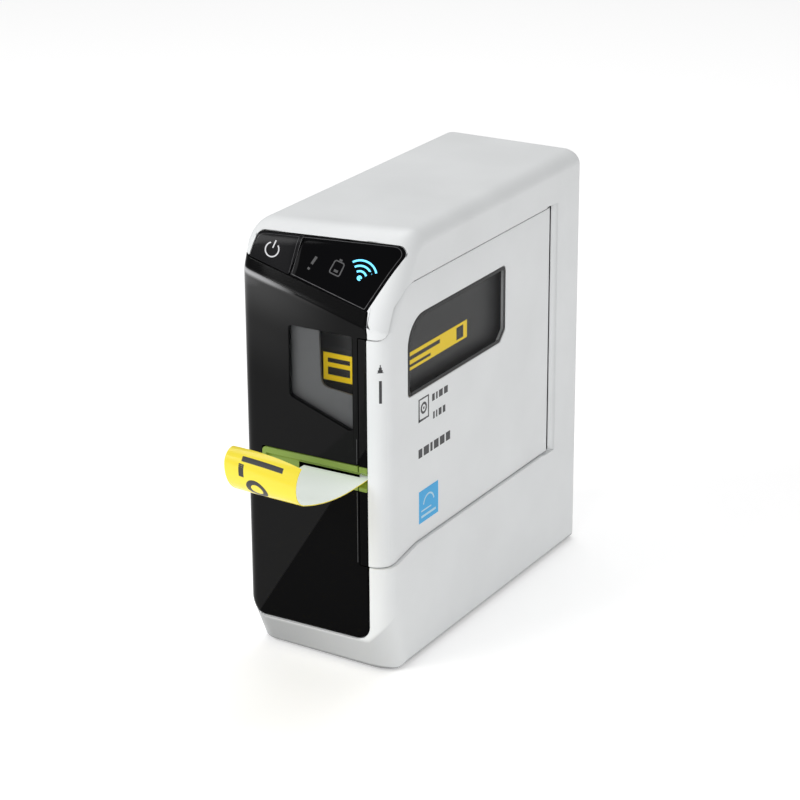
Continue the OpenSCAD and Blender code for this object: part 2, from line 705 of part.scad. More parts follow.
module platen_roller() placed() color("black")
    tube_x(tape_x0, tape_x1, platen_y, platen_z, platen_r, shaft_r);

module platen_shaft() placed() color("silver")
    rod_x(gear_x0, cart_x1, platen_y, platen_z, shaft_r);

module platen_gear() placed() color("ivory")
    gear(platen_teeth, gear_m, 0, gear_x0, gear_t, platen_y, platen_z, shaft_r);

module idler_gear() placed() color("ivory")
    gear(idler_teeth, gear_m, idler_phase, gear_x0, gear_t, idler_y, idler_z, shaft_r + running);

module idler_stud() placed() color("silver") {
    rod_x(gear_x0 - 0.4, plate_x0, idler_y, idler_z, shaft_r);
    rod_x(plate_x0, plate_x1, idler_y, idler_z, 1);
}

module takeup_gear() placed() color("ivory") {
    gear(takeup_teeth, gear_m, takeup_phase, gear_x0, gear_t, takeup_y, takeup_z, 0.8);
    tube_x(gear_x0 + gear_t, tape_x1 - 2, takeup_y, takeup_z, spindle_r, 0.8);
}

module motor_can(x0, x1, y, z, r, bore) difference() {
    union() {
        rod_x(x0, x1 - 0.8, y, z, r);
        along_x(x1 - 0.8, x1) difference() {
            union() {
                translate([y, z]) circle(r);
                translate([y - r - 2.5, z - 2.5]) square([2 * r + 5, 5]);
            }
            for (s = [-1, 1]) translate([y + s * (r + 1.2), z]) circle(0.8);
        }
    }
    rod_x(x0 + 2, x1 + 1, y, z, bore);
}

module feed_motor() placed() color("silver")
    motor_can(motor_x0, motor_x1, pinion_y, pinion_z, motor_r, 1 + running);

module motor_pinion() placed() color("goldenrod") {
    gear(pinion_teeth, gear_m, pinion_phase, gear_x0, gear_t, pinion_y, pinion_z, 1);
    rod_x(motor_x0 + 2.2, gear_x0 + gear_t, pinion_y, pinion_z, 1);
}

// --------------------------------------------------------------- print head

module print_head() placed() color("sienna") {
    block(head_x0, head_x1, platen_y - 4, platen_y + 4, head_top - 1.2, head_top - 0.2);
    block(head_x0 + 1, head_x1 - 1, platen_y - 0.8, platen_y + 0.8, head_top - 0.2, head_top);
}

module head_heat_sink() placed() color("silver") difference() {
    block(head_x0, head_x1, platen_y - 5, platen_y + 5, arm_z0 + arm_t, head_top - 1.2);
    for (i = [0:4]) block(head_x0 - 1, head_x1 + 1, platen_y - 3.9 + 1.8 * i, platen_y - 3.3 + 1.8 * i,
        arm_z0 + arm_t - 1, head_top - 3);
}

module head_arm() placed() color("darkgray") difference() {
    union() {
        block(head_x0, head_x1, platen_y - 5, arm_pin_y + 2, arm_z0, arm_z0 + arm_t);
        rod_x(head_x0, head_x1, arm_pin_y, arm_pin_z, arm_hub_r);
    }
    rod_x(head_x0 - 1, head_x1 + 1, arm_pin_y, arm_pin_z, shaft_r + running);
}

module head_arm_pin() placed() color("silver") {
    rod_x(plate_x1, head_x1 + 0.8, arm_pin_y, arm_pin_z, shaft_r);
    rod_x(plate_x0, plate_x1, arm_pin_y, arm_pin_z, 1);
}

module head_spring() placed() color("silver")
    translate([(head_x0 + head_x1) / 2, platen_y, floor_z1]) difference() {
        cylinder(r = 3, h = arm_z0 - floor_z1);
        translate([0, 0, -1]) cylinder(r = 2.2, h = arm_z0 - floor_z1 + 2);
    }

// ------------------------------------------------------------------- cutter

module cutter_blade() placed() color("silver")
    along_y(cut_y - blade_t / 2, cut_y + blade_t / 2)
        polygon([[tape_x0 - 1, slot_z + 1.6], [tape_x1 + 0.6, slot_z + 4.2], [tape_x1 + 0.6, carriage_z1 - 0.5],
            [tape_x0 - 1, carriage_z1 - 0.5]]);

module cutter_carriage() placed() color("dimgray") {
    rack_z0 = cutter_pinion_z - tooth_pitch * 1.5;
    difference() {
        union() {
            block(rod_left_x - 2, carriage_x1, carriage_y0, carriage_y1, carriage_z0, carriage_z1);
            block(gear_x0, gear_x0 + gear_t - 0.5, carriage_y0, carriage_y1, carriage_z0, rack_z0 + (rack_teeth + 1) * tooth_pitch);
            // rack teeth, in step with the pinion
            along_x(gear_x0, gear_x0 + gear_t - 0.5)
                for (i = [0:rack_teeth - 1]) let (z = rack_z0 + (i + 1) * tooth_pitch)
                    polygon([[carriage_y1 - 0.2, z - 0.38 * tooth_pitch], [rack_pitch_y, z - 0.2 * tooth_pitch],
                        [rack_pitch_y + 0.8 * gear_m, z - 0.09 * tooth_pitch], [rack_pitch_y + 0.8 * gear_m, z + 0.09 * tooth_pitch],
                        [rack_pitch_y, z + 0.2 * tooth_pitch], [carriage_y1 - 0.2, z + 0.38 * tooth_pitch]]);
        }
        for (x = [rod_left_x, rod_right_x]) translate([x, rod_y0, 0]) cylinder(r = rod_r + running, h = big);
    }
}

module cutter_rods() placed() color("silver")
    for (x = [rod_left_x, rod_right_x]) translate([x, rod_y0, floor_z0]) cylinder(r = rod_r, h = carriage_z1 + 3 - floor_z0);

module cutter_anvil() placed() color("silver") {
    y0 = cut_y + blade_t / 2 + 0.1;
    block(tape_x0 - 1.5, tape_x1 + 0.8, y0, y0 + 0.6, floor_z1, slot_z - 0.45);
}

module cutter_motor() placed() color("silver")
    motor_can(motor_x0, motor_x1, cutter_pinion_y, cutter_pinion_z, cutter_motor_r, 1 + running);

module cutter_pinion() placed() color("goldenrod") {
    gear(pinion_teeth, gear_m, 0, gear_x0, gear_t - 0.5, cutter_pinion_y, cutter_pinion_z, 1);
    rod_x(motor_x0 + 2.2, gear_x0 + gear_t - 0.5, cutter_pinion_y, cutter_pinion_z, 1);
}

// ---------------------------------------------------------------- electrics

module main_board() placed() color("darkgreen") difference() {
    block(-half_w + 4, half_w - 4, front + 26, back - 3, board_z0, board_top);
    for (s = [-1, 1]) translate([s * (screw_x + 9), screw_back_y, 0]) cube([2 * boss_r + 19.2, 2 * boss_r + 1.2, 80], center = true);
}

module board_chips() placed() color("black") {
    block(2, 14, -18, -6, board_top, board_top + 1.4);
    block(-16, -6, -4, 6, board_top, board_top + 1.2);
    block(-16, -4, -30, -14, board_top, board_top + 2);
    translate([10, 10, board_top]) cylinder(r = 4, h = 11);
    translate([10, 20, board_top]) cylinder(r = 4, h = 11);
}

module flex_cable() placed() color("burlywood")
    block(-half_w + 5.5, -half_w + 12.5, front + 3.3, front + 3.6, base_z + 13, crease_z + 1);

module usb_socket() placed() color("silver") difference() {
    block(usb_x - 3.9, usb_x + 3.9, back - 9.2, back - 0.3, usb_z - 2, usb_z + 2);
    block(usb_x - 3.4, usb_x + 3.4, back - 8, back, usb_z - 1.5, usb_z + 0.6);
    block(usb_x - 2.6, usb_x + 2.6, back - 8, back, usb_z + 0.5, usb_z + 1.5);
}

module dc_jack() placed() color("black") {
    difference() {
        union() {
            block(dc_x - 4.5, dc_x + 4.5, back - 14, back - wall - 0.3, board_top, dc_z + 5);
            rod_y(back - wall - 0.3, back - 0.4, dc_x, dc_z, 4.2);
        }
        rod_y(back - 11, back + 1, dc_x, dc_z, 2.9);
    }
    rod_y(back - 11.1, back - 2, dc_x, dc_z, 0.95);
}

// ------------------------------------------------------------------ battery

module battery_cover() placed() color("whitesmoke") difference() {
    block(-half_w, -half_w + wall - 0.05, hatch_y0 + gap, hatch_y1 - gap, hatch_z0 + gap, hatch_z1 - gap);
    for (i = [0:4]) block(-half_w - 1, -half_w + 0.4, (hatch_y0 + hatch_y1) / 2 - 9, (hatch_y0 + hatch_y1) / 2 + 9,
        hatch_z1 - 10 - 2 * i, hatch_z1 - 9 - 2 * i);
}

module battery_tray() placed() color("dimgray") difference() {
    block(-half_w + wall + 0.25, plate_x0 - 0.05, tray_y0, tray_y1, tray_z0, tray_z1);
    block(-big, plate_x0 + 1, tray_y0 + tray_wall, tray_y1 - tray_wall, tray_z0 + tray_wall, tray_z1 - tray_wall);
}

function cell_y(i) = tray_y0 + tray_wall + cell_gap + cell_pitch * (i + 0.5) - cell_gap / 2;

module batteries() placed() color("goldenrod")
    for (i = [0:2], j = [0:1]) translate([cell_x, cell_y(i), tray_z0 + tray_wall + contact_h + j * cell_len]) {
        cylinder(r = cell_d / 2, h = cell_len - 1);
        translate([0, 0, cell_len - 1]) cylinder(r = 2.75, h = 1 - 0.02);
    }

module battery_contacts() placed() color("silver")
    for (i = [0:2]) {
        translate([cell_x, cell_y(i), tray_z0 + tray_wall]) {
            translate([-5, -5, 0]) cube([10, 10, 0.4]);
            difference() {
                translate([0, 0, 0.4]) cylinder(r = 3.4, h = contact_h - 0.45);
                translate([0, 0, 0.4]) cylinder(r = 2.6, h = contact_h);
            }
        }
        translate([cell_x, cell_y(i), tray_z1 - tray_wall - contact_h]) cylinder(r = 3, h = contact_h - 0.3);
        translate([cell_x - 5, cell_y(i) - 5, tray_z1 - tray_wall - 0.4]) cube([10, 10, 0.4]);
    }

// --------------------------------------------------------- feet and screws

module rubber_feet() placed() color("black")
    for (x = [-foot_x, foot_x], y = [foot_front_y, foot_back_y])
        translate([x, y, 0]) cylinder(r = foot_r, h = base_z + 0.75);

module base_screws() placed() color("silver")
    for (x = [-screw_x, screw_x], y = [screw_front_y, screw_back_y]) translate([x, y, base_z + screw_seat]) difference() {
        union() {
            translate([0, 0, -screw_head_h]) cylinder(r = screw_r + 1, h = screw_head_h);
            cylinder(r = screw_r - 0.05, h = 9);
        }
        translate([0, 0, -1]) cylinder(r = 0.8, h = 0.8, $fn = 6);
    }

main_shell();
base_cover();
front_panel();
front_window();
control_lens();
control_bezel();
power_button();
control_board();
button_switch();
status_leds();
exit_trim();
tape_cover();
cover_front_strip();
cover_window();
exit_trim_end();
cover_latch();
latch_catch();
hinge_pins();
inner_frame();
cartridge_case();
cartridge_lid();
cartridge_labels();
tape_roll();
tape_core();
ribbon_supply();
ribbon_takeup();
platen_roller();
platen_shaft();
platen_gear();
idler_gear();
idler_stud();
takeup_gear();
feed_motor();
motor_pinion();
print_head();
head_heat_sink();
head_arm();
head_arm_pin();
head_spring();
cutter_blade();
cutter_carriage();
cutter_rods();
cutter_anvil();
cutter_motor();
cutter_pinion();
main_board();
board_chips();
flex_cable();
usb_socket();
dc_jack();
battery_cover();
battery_tray();
batteries();
battery_contacts();
rubber_feet();
base_screws();
label_strip();
tape_lead();
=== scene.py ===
# Desktop label maker: upright body, black front with a sloped control panel,
# swing-out tape cover with a smoked window, and a printed label leaving the slot.
import math

import bmesh
import bpy
from mathutils import Matrix, Vector
from mathutils.bvhtree import BVHTree


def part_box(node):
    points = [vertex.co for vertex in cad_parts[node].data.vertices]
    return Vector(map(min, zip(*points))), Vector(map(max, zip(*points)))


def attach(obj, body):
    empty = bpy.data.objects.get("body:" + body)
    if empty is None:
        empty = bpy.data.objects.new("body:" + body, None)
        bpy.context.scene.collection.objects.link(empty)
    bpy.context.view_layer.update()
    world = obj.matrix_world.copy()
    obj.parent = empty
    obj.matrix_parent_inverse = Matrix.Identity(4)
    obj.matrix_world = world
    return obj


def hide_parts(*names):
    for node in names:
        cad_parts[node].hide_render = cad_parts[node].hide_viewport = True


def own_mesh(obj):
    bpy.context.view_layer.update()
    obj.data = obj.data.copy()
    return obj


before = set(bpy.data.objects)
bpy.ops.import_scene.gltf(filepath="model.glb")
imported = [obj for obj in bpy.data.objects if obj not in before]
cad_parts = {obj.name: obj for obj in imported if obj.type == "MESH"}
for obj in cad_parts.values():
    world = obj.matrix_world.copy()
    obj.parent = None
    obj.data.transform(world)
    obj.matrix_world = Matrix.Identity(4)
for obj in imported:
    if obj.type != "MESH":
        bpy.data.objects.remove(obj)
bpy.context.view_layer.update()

# ------------------------------------------------------------------ studio
# Camera, floor and lights. A long lens stands high at the front right, over a
# white sweep, with a soft key from the front left, two soft boxes and a pale room.
scene = bpy.context.scene
scene.view_settings.view_transform = "Standard"

camera_data = bpy.data.cameras.new("camera")
camera_data.lens = 118.0
camera_data.sensor_width = 36.0
camera = bpy.data.objects.new("camera", camera_data)
camera.location = (0.4162, -0.6967, 0.3863)
camera_aim = Vector((-0.0114, 0.0273, 0.0655))
camera_roll = math.radians(-0.31)
sight = (camera_aim - camera.location).to_track_quat("-Z", "Y").to_matrix()
camera.rotation_euler = (sight @ Matrix.Rotation(camera_roll, 3, "Z")).to_euler()
scene.collection.objects.link(camera)
scene.camera = camera


def new_material(name):
    """New material, with its node tree and its Principled shader."""
    material = bpy.data.materials.new(name)
    material.use_nodes = True
    tree = material.node_tree
    return material, tree, tree.nodes["Principled BSDF"]


def noise(tree, scale, detail=2.0, place=None):
    """Noise texture; returns its value."""
    texture = tree.nodes.new("ShaderNodeTexNoise")
    texture.inputs["Scale"].default_value = scale
    texture.inputs["Detail"].default_value = detail
    if place is not None:
        tree.links.new(place, texture.inputs["Vector"])
    return texture.outputs["Fac"]


def two_tones(tree, source, dark, light, dark_at=0.0, light_at=1.0):
    """Ramp from one colour to another, driven by a value; returns the colour."""
    ramp = tree.nodes.new("ShaderNodeValToRGB")
    for stop, position, colour in zip(ramp.color_ramp.elements, (dark_at, light_at), (dark, light)):
        stop.position = position
        stop.color = (*colour, 1)
    tree.links.new(source, ramp.inputs["Fac"])
    return ramp.outputs["Color"]


def glowing(shader, colour, strength):
    """Gives a shader some light of its own."""
    shader.inputs["Emission Color"].default_value = (*colour, 1)
    shader.inputs["Emission Strength"].default_value = strength


def sweep_paper():
    """Matt white paper, with a very faint mottle. Its glow lifts it to white, as no paper does."""
    material, tree, shader = new_material("sweep_paper")
    mottle = noise(tree, 6.0)
    tree.links.new(two_tones(tree, mottle, [0.93] * 3, [0.95] * 3), shader.inputs["Base Color"])
    shader.inputs["Roughness"].default_value = 0.9
    shader.inputs["Specular IOR Level"].default_value = 0.1
    glowing(shader, (1, 1, 1), 0.33)
    return material


sweep_mesh = bpy.data.meshes.new("sweep")
sweep_half = 6.0
sweep_mesh.from_pydata(
    [(-sweep_half, -sweep_half, 0), (sweep_half, -sweep_half, 0),
     (sweep_half, sweep_half, 0), (-sweep_half, sweep_half, 0)], [], [(0, 1, 2, 3)])
sweep = bpy.data.objects.new("sweep", sweep_mesh)
sweep_mesh.materials.append(sweep_paper())
scene.collection.objects.link(sweep)

world = bpy.data.worlds.new("room")
world.use_nodes = True
world.node_tree.nodes["Background"].inputs["Color"].default_value = (1.0, 1.0, 1.0, 1)
world.node_tree.nodes["Background"].inputs["Strength"].default_value = 0.40
scene.world = world


def soft_box(name, place, aim, width, height, watts):
    """Square-cornered studio light that looks at a point."""
    data = bpy.data.lights.new(name, "AREA")
    data.shape = "RECTANGLE"
    data.size = width
    data.size_y = height
    data.energy = watts
    light = bpy.data.objects.new(name, data)
    light.location = place
    light.rotation_euler = (Vector(aim) - Vector(place)).to_track_quat("-Z", "Y").to_euler()
    scene.collection.objects.link(light)


body_middle = (0, 0, 0.07)
soft_box("key_light", (-0.75, -1.15, 1.05), body_middle, 0.7, 0.7, 9)
soft_box("column_light", (0.32, -1.45, 0.5), body_middle, 0.5, 0.7, 4)
soft_box("top_light", (-0.1, 0.35, 1.4), body_middle, 0.9, 0.9, 6)

# ------------------------------------------------------------------ main shell
# One white moulding: top, back, left side and the bands above and below the
# tape cover. Satin ABS, 2 mm thick, with the long edges well rounded.
mm = 0.001


def corners_mm(node):
    """Lowest and highest corner of a CAD node, in millimetres."""
    return [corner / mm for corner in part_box(node)]


shell_low, shell_high = corners_mm("main_shell")
half = shell_high.x
front = shell_low.y
back = shell_high.y
top = shell_high.z
floor = shell_low.z
wall = 2.0
seam = 0.25
chin_top = 12.0
crease_mid = top - 22.0
crease_angle = math.radians(15.4)
crease_slope = math.tan(crease_angle)
lean_mid = 25.5
lean_twist = 11.8
# Rounds in the order of body_ring's corners: of the six edges that run across, and of
# those where the left and the right side meet the faces between them
corner_rounds = (3.0, 7.0, 3.0, 11.0, 4.5, 2.0)
left_rounds = (7.0, 4.0, 4.0, 5.5, 2.5, 2.0)
right_rounds = (9.0, 6.5, 5.5, 5.5, 2.5, 2.2)
side_depth = 9.0
side_steps = [side_depth * (1 - math.cos(math.radians(9 * k))) for k in range(11)]


def rounded(corners, steps=8):
    """Outline in which each corner, given as (u, v, radius), becomes an arc."""
    outline = []
    for i, (u, v, radius) in enumerate(corners):
        here = Vector((u, v))
        before = (Vector(corners[i - 1][:2]) - here).normalized()
        after = (Vector(corners[(i + 1) % len(corners)][:2]) - here).normalized()
        opening = before.angle(after) / 2
        if radius <= 0 or opening > 1.56:
            outline.append(here)
            continue
        centre = here + (before + after).normalized() * radius / math.sin(opening)
        first = here + before * radius / math.tan(opening) - centre
        last = here + after * radius / math.tan(opening) - centre
        start = math.atan2(first.y, first.x)
        turn = (math.atan2(last.y, last.x) - start + math.pi) % math.tau - math.pi
        for k in range(steps + 1):
            angle = start + turn * k / steps
            outline.append(centre + Vector((math.cos(angle), math.sin(angle))) * radius)
    return outline


def rounded_box(low_u, low_v, high_u, high_v, radius):
    """Rectangle with equal rounds at its corners."""
    corners = ((low_u, low_v), (high_u, low_v), (high_u, high_v), (low_u, high_v))
    return rounded([(u, v, radius) for u, v in corners])


def crease_height(x):
    """Height of the crease below the controls."""
    return crease_mid - x * crease_slope


def chin_run(x):
    """How far the sloped chin sets the foot of the front back: less to the right."""
    return 4.4 - 0.05 * x


def facet_lean(x):
    """Slope of the control facet, as run over rise: it leans more to the right."""
    return math.tan(math.radians(lean_mid + lean_twist / 2 * x / half))


def edge_draw(radius, depth):
    """How far a rounded edge has drawn in, at a depth from the side."""
    if depth >= radius:
        return 0.0
    return radius - math.sqrt(max(radius ** 2 - (radius - depth) ** 2, 0.0))


def body_ring(x, drawn_in, right):
    """Side outline of the body at x, drawn in all round, as points in space."""
    here = max(-half, min(half, x))
    crease = crease_height(here)
    corners = [
        Vector((front + chin_run(here), floor)), Vector((front, chin_top)), Vector((front, crease)),
        Vector((front + (top - crease) * facet_lean(here), top)),
        Vector((back, top)), Vector((back, floor))]
    lines = []
    for i, corner in enumerate(corners):
        run = (corners[(i + 1) % 6] - corner).normalized()
        left_edge = edge_draw(max(left_rounds[i] - drawn_in, 0.4), x + half - drawn_in)
        right_edge = edge_draw(max(right_rounds[i] - drawn_in, 0.4), right - drawn_in - x)
        inset = drawn_in + left_edge + right_edge
        lines.append((corner + Vector((run.y, -run.x)) * inset, run, inset))
    drawn = []
    for i in range(6):
        before, before_run, before_inset = lines[i - 1]
        after, after_run, after_inset = lines[i]
        gap = after - before
        along = gap.cross(after_run) / before_run.cross(after_run)
        meet = before + before_run * along
        radius = max(corner_rounds[i] - (before_inset + after_inset) / 2, 0.5)
        drawn.append((meet.x, meet.y, radius))
    return [(x, point.x, point.y) for point in rounded(drawn)]


def loft(rings, inward=False):
    """Closed bmesh through a row of rings with equal numbers of points."""
    solid = bmesh.new()
    loops = [[solid.verts.new(Vector(point) * mm) for point in ring] for ring in rings]
    for one, other in zip(loops, loops[1:]):
        for k in range(len(one)):
            solid.faces.new((one[k - 1], one[k], other[k], other[k - 1]))
    solid.faces.new(loops[0])
    solid.faces.new(loops[-1])
    bmesh.ops.recalc_face_normals(solid, faces=solid.faces)
    if inward:
        bmesh.ops.reverse_faces(solid, faces=solid.faces)
    return solid


def body_form(drawn_in, right, inward=False):
    """The body's outer form, drawn in all round."""
    left_x = -half + drawn_in
    right_x = right - drawn_in
    places = [left_x + depth for depth in side_steps]
    middle = [places[-1] + (right_x - side_steps[-1] - places[-1]) * k / 10 for k in range(1, 10)]
    places += middle + [right_x - depth for depth in reversed(side_steps)]
    return loft([body_ring(x, drawn_in, right) for x in places], inward)


def new_object(name, solid):
    """Blender object from a bmesh."""
    mesh = bpy.data.meshes.new(name)
    solid.to_mesh(mesh)
    solid.free()
    item = bpy.data.objects.new(name, mesh)
    scene.collection.objects.link(item)
    return item


def body_skin(name, thickness, right=half):
    """A hollow copy of the body, as thick as a moulding's wall."""
    solid = body_form(0.0, right)
    inside = body_form(thickness, right, inward=True)
    spare = bpy.data.meshes.new("inside")
    inside.to_mesh(spare)
    inside.free()
    solid.from_mesh(spare)
    bpy.data.meshes.remove(spare)
    return new_object(name, solid)


side_on = Matrix(((0, 0, 1, 0), (1, 0, 0, 0), (0, 1, 0, 0), (0, 0, 0, 1)))
front_on = Matrix(((1, 0, 0, 0), (0, 0, 1, 0), (0, 1, 0, 0), (0, 0, 0, 1)))
plan_on = Matrix.Identity(4)


def prism(outline, start, end, place):
    """Outline drawn in place's X and Y, made solid from start to end of its Z."""
    rings = []
    for depth in (start, end):
        rings.append([place @ Vector((point[0], point[1], depth)) for point in outline])
    return new_object("prism", loft(rings))


def block(low, high):
    """Plain box between two corners."""
    outline = [(low[0], low[1]), (high[0], low[1]), (high[0], high[1]), (low[0], high[1])]
    return prism(outline, low[2], high[2], plan_on)


def combine(target, tool, operation):
    """Applies a boolean of tool to target, and drops the tool."""
    change = target.modifiers.new("combine", "BOOLEAN")
    change.operation = operation
    change.solver = "EXACT"
    change.object = tool
    bpy.context.view_layer.update()
    graph = bpy.context.evaluated_depsgraph_get()
    mesh = bpy.data.meshes.new_from_object(target.evaluated_get(graph))
    target.modifiers.clear()
    target.data = mesh
    bpy.data.objects.remove(tool)
    return target


def cut(target, *tools):
    """Takes each tool's shape out of target."""
    for tool in tools:
        combine(target, tool, "DIFFERENCE")
    return target


def keep(target, tool):
    """Keeps only what of target lies inside the tool."""
    return combine(target, tool, "INTERSECT")


def soften(piece, width, segments=2, angle=40):
    """Breaks the sharp edges with a small round and evens the shading."""
    piece.data.shade_smooth()
    weld = piece.modifiers.new("weld", "WELD")
    weld.merge_threshold = 0.00002
    rounding = piece.modifiers.new("edge_round", "BEVEL")
    rounding.width = width * mm
    rounding.segments = segments
    rounding.limit_method = "ANGLE"
    rounding.angle_limit = math.radians(angle)
    rounding.use_clamp_overlap = False
    rounding.miter_outer = "MITER_ARC"
    shading = piece.modifiers.new("even_shading", "WEIGHTED_NORMAL")
    shading.weight = 90
    return piece


def ranged(tree, source, low, high, to_low=0.0, to_high=1.0, easing="LINEAR"):
    """Maps a value from one range to another; returns the result."""
    mapped = tree.nodes.new("ShaderNodeMapRange")
    mapped.interpolation_type = easing
    limits = {"From Min": low, "From Max": high, "To Min": to_low, "To Max": to_high}
    for limit, value in limits.items():
        mapped.inputs[limit].default_value = value
    tree.links.new(source, mapped.inputs["Value"])
    return mapped.outputs["Result"]


def roughen(tree, shader, source, strength, depth):
    """Fine relief on the shader's normal, driven by a value."""
    bump = tree.nodes.new("ShaderNodeBump")
    bump.inputs["Strength"].default_value = strength
    bump.inputs["Distance"].default_value = depth
    tree.links.new(source, bump.inputs["Height"])
    tree.links.new(bump.outputs["Normal"], shader.inputs["Normal"])


def moulded(name, colour, roughness, grain=0.35, spread=0.03, specular=0.5):
    """Moulded plastic: fine spark-eroded grain, slight drift of tone and gloss."""
    material, tree, shader = new_material(name)
    place = tree.nodes.new("ShaderNodeTexCoord").outputs["Object"]
    drift = noise(tree, 35.0, 4.0, place)
    darker = [c * (1 - spread) for c in colour]
    lighter = [min(c * (1 + spread), 1) for c in colour]
    tone = two_tones(tree, drift, darker, lighter, 0.3, 0.7)
    gloss = ranged(tree, drift, 0.0, 1.0, roughness * 0.9, roughness * 1.12)
    tree.links.new(tone, shader.inputs["Base Color"])
    tree.links.new(gloss, shader.inputs["Roughness"])
    roughen(tree, shader, noise(tree, 2500.0, 3.0, place), grain, 0.00003)
    shader.inputs["Specular IOR Level"].default_value = specular
    return material


def dress(piece, material, body, slot, *nodes):
    """Gives a piece its material and its body, and hides the CAD nodes that it stands for; the slot is not
    used.
    """
    piece.data.materials.append(material)
    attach(piece, body)
    if nodes:
        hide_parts(*nodes)
    return piece


# Opening for the tape cover, seen from the side: level above and below, and
# stepping down round the front corner
cover_low, cover_high = corners_mm("tape_cover")
front_strip_low, front_strip_high = corners_mm("cover_front_strip")
hinge_low, hinge_high = corners_mm("hinge_pins")
hinge_x = (hinge_low.x + hinge_high.x) / 2
hinge_y = (hinge_low.y + hinge_high.y) / 2
barrel_radius = 1.9
cover_face = cover_high.x
cover_top = cover_high.z + seam
corner_top = front_strip_high.z + seam
corner_foot = cover_low.z - seam
cover_foot = corner_foot + 2.7


def cover_outline(gap):
    """Side outline of the tape cover, drawn in by a gap, which is wider on top."""
    brow_gap = gap * 2.6
    return rounded([
        (hinge_y, cover_foot + gap, 0), (hinge_y, cover_top - brow_gap, 0),
        (front + 14, cover_top - brow_gap, 9), (front + 7 + gap, cover_top - 6 - gap, 5),
        (front + 1.8 + gap, corner_top - gap, 2.5),
        (front - 9, corner_top - gap, 0), (front - 9, corner_foot + gap, 0),
        (front + 3.5, corner_foot + gap, 8), (front + 19, cover_foot + gap, 14)])


panel_low, panel_high = corners_mm("front_panel")
panel_depth = panel_high.y - panel_low.y
panel_foot = panel_low.z
panel_side = panel_low.x - 1
strip_left = front_strip_low.x - seam
strip_right = front_strip_high.x
seam_rise = 4.24
seam_end = 18.3


def panel_outline(gap):
    """Front outline of the black panel, up to the seam below the controls."""
    left_seam = crease_height(panel_side) + seam_rise - gap
    right_seam = crease_height(seam_end) + seam_rise - gap
    return rounded([
        (panel_side, panel_foot + gap, 8), (panel_side, left_seam, 0), (seam_end - gap, right_seam, 0.6),
        (strip_right - gap, corner_top + 2, 6), (strip_right - gap, panel_foot + gap, 5)])


facet_tilt = math.radians(27.4)
facet_on = (
    Matrix.Translation((0, front, crease_mid))
    @ Matrix.Rotation(crease_angle, 4, "Y")
    @ Matrix.Rotation(-facet_tilt, 4, "X")
    @ front_on)
control_foot = 4.6
control_split = (-10.9, -12.3)


def control_outline(gap):
    """Outline of the controls on the sloped facet."""
    return rounded([
        (-26.4 + gap, control_foot + gap, 0.3), (-26.9 + gap, 13.4 - gap, 2.4),
        (20.5 - gap, 28.7 - gap, 2.2), (17.45 - gap, control_foot + gap, 0.3)])


battery_low, battery_high = corners_mm("battery_cover")
base_low, base_high = corners_mm("base_cover")
usb_low, usb_high = corners_mm("usb_socket")
jack_low, jack_high = corners_mm("dc_jack")

shell = body_skin("shell_moulding", wall)
past = 4.0
ramp_start = hinge_y + 2.7
ramp_end = hinge_y + 4.7
ramp_plan = [(cover_face - 0.6, hinge_y - 3), (half + past, hinge_y - 3), (half + past, ramp_end),
             (half + 0.01, ramp_end), (cover_face - 0.6, ramp_start)]
base_half = 22.0
base_outline = rounded_box(-base_half, base_low.y + 1.4, base_half, base_high.y - 1.4, 2)
jack_x = (jack_low.x + jack_high.x) / 2


def ring_of(u, v, radius, steps=36):
    """Circle of points."""
    turns = [math.tau * k / steps for k in range(steps)]
    return [(u + radius * math.cos(turn), v + radius * math.sin(turn)) for turn in turns]


cut(
    shell,
    prism(panel_outline(-seam), front - past, front + panel_depth + seam, front_on),
    prism(control_outline(-0.15), -6, wall + 2, facet_on),
    prism(cover_outline(0), strip_left - 0.4, half + past, side_on),
    prism(ramp_plan, cover_foot - 0.4, cover_top + 0.4, plan_on),
    block((-half - past, battery_low.y - seam, battery_low.z - seam),
          (-half + wall + 1, battery_high.y + seam, battery_high.z + seam)),
    prism(base_outline, floor - past, floor + wall + 0.2, plan_on),
    prism(ring_of(hinge_x, hinge_y, barrel_radius + 0.35), cover_foot, cover_top, plan_on),
    block((hinge_x, hinge_y - 0.1, cover_foot), (half + past, ramp_start, cover_top)),
    prism(ring_of(jack_x, jack_low.z + 5.5, 4.5), back - wall - 1, back + 1, front_on),
    block((usb_low.x - 0.3, back - wall - 1, usb_low.z - 0.3),
          (usb_high.x + 0.3, back + 1, usb_high.z + 0.3)))
soften(shell, 0.28)
shell_white = moulded("shell_white", (0.80, 0.815, 0.82), 0.36, grain=0.22)


def mixed(tree, blend_type, amount, base, over):
    """Colour mix; amount and over are each a socket or a constant. Returns the result."""
    mix = tree.nodes.new("ShaderNodeMix")
    mix.data_type = "RGBA"
    mix.blend_type = blend_type
    tree.links.new(base, mix.inputs["A"])
    for name, value in (("Factor", amount), ("B", over)):
        if isinstance(value, bpy.types.NodeSocket):
            tree.links.new(value, mix.inputs[name])
        else:
            mix.inputs[name].default_value = value
    return mix.outputs["Result"]


def object_parts(tree, output):
    """X, Y and Z of a texture coordinate, as the outputs of one node."""
    parts = tree.nodes.new("ShaderNodeSeparateXYZ")
    tree.links.new(tree.nodes.new("ShaderNodeTexCoord").outputs[output], parts.inputs["Vector"])
    return parts.outputs


def shade_below(material, deepest):
    """Darkens a moulding where it faces down, as painted shade: the real plastic has one tone."""
    tree = material.node_tree
    shader = tree.nodes["Principled BSDF"]
    tone = shader.inputs["Base Color"].links[0].from_socket
    facing = object_parts(tree, "Normal")["Z"]
    level = ranged(tree, facing, -0.6, 0.0, deepest, 1.0, "SMOOTHSTEP")
    tree.links.new(mixed(tree, "MULTIPLY", 1.0, tone, level), shader.inputs["Base Color"])


shade_below(shell_white, 0.26)
dress(shell, shell_white, "housing", "white_shell", "main_shell")

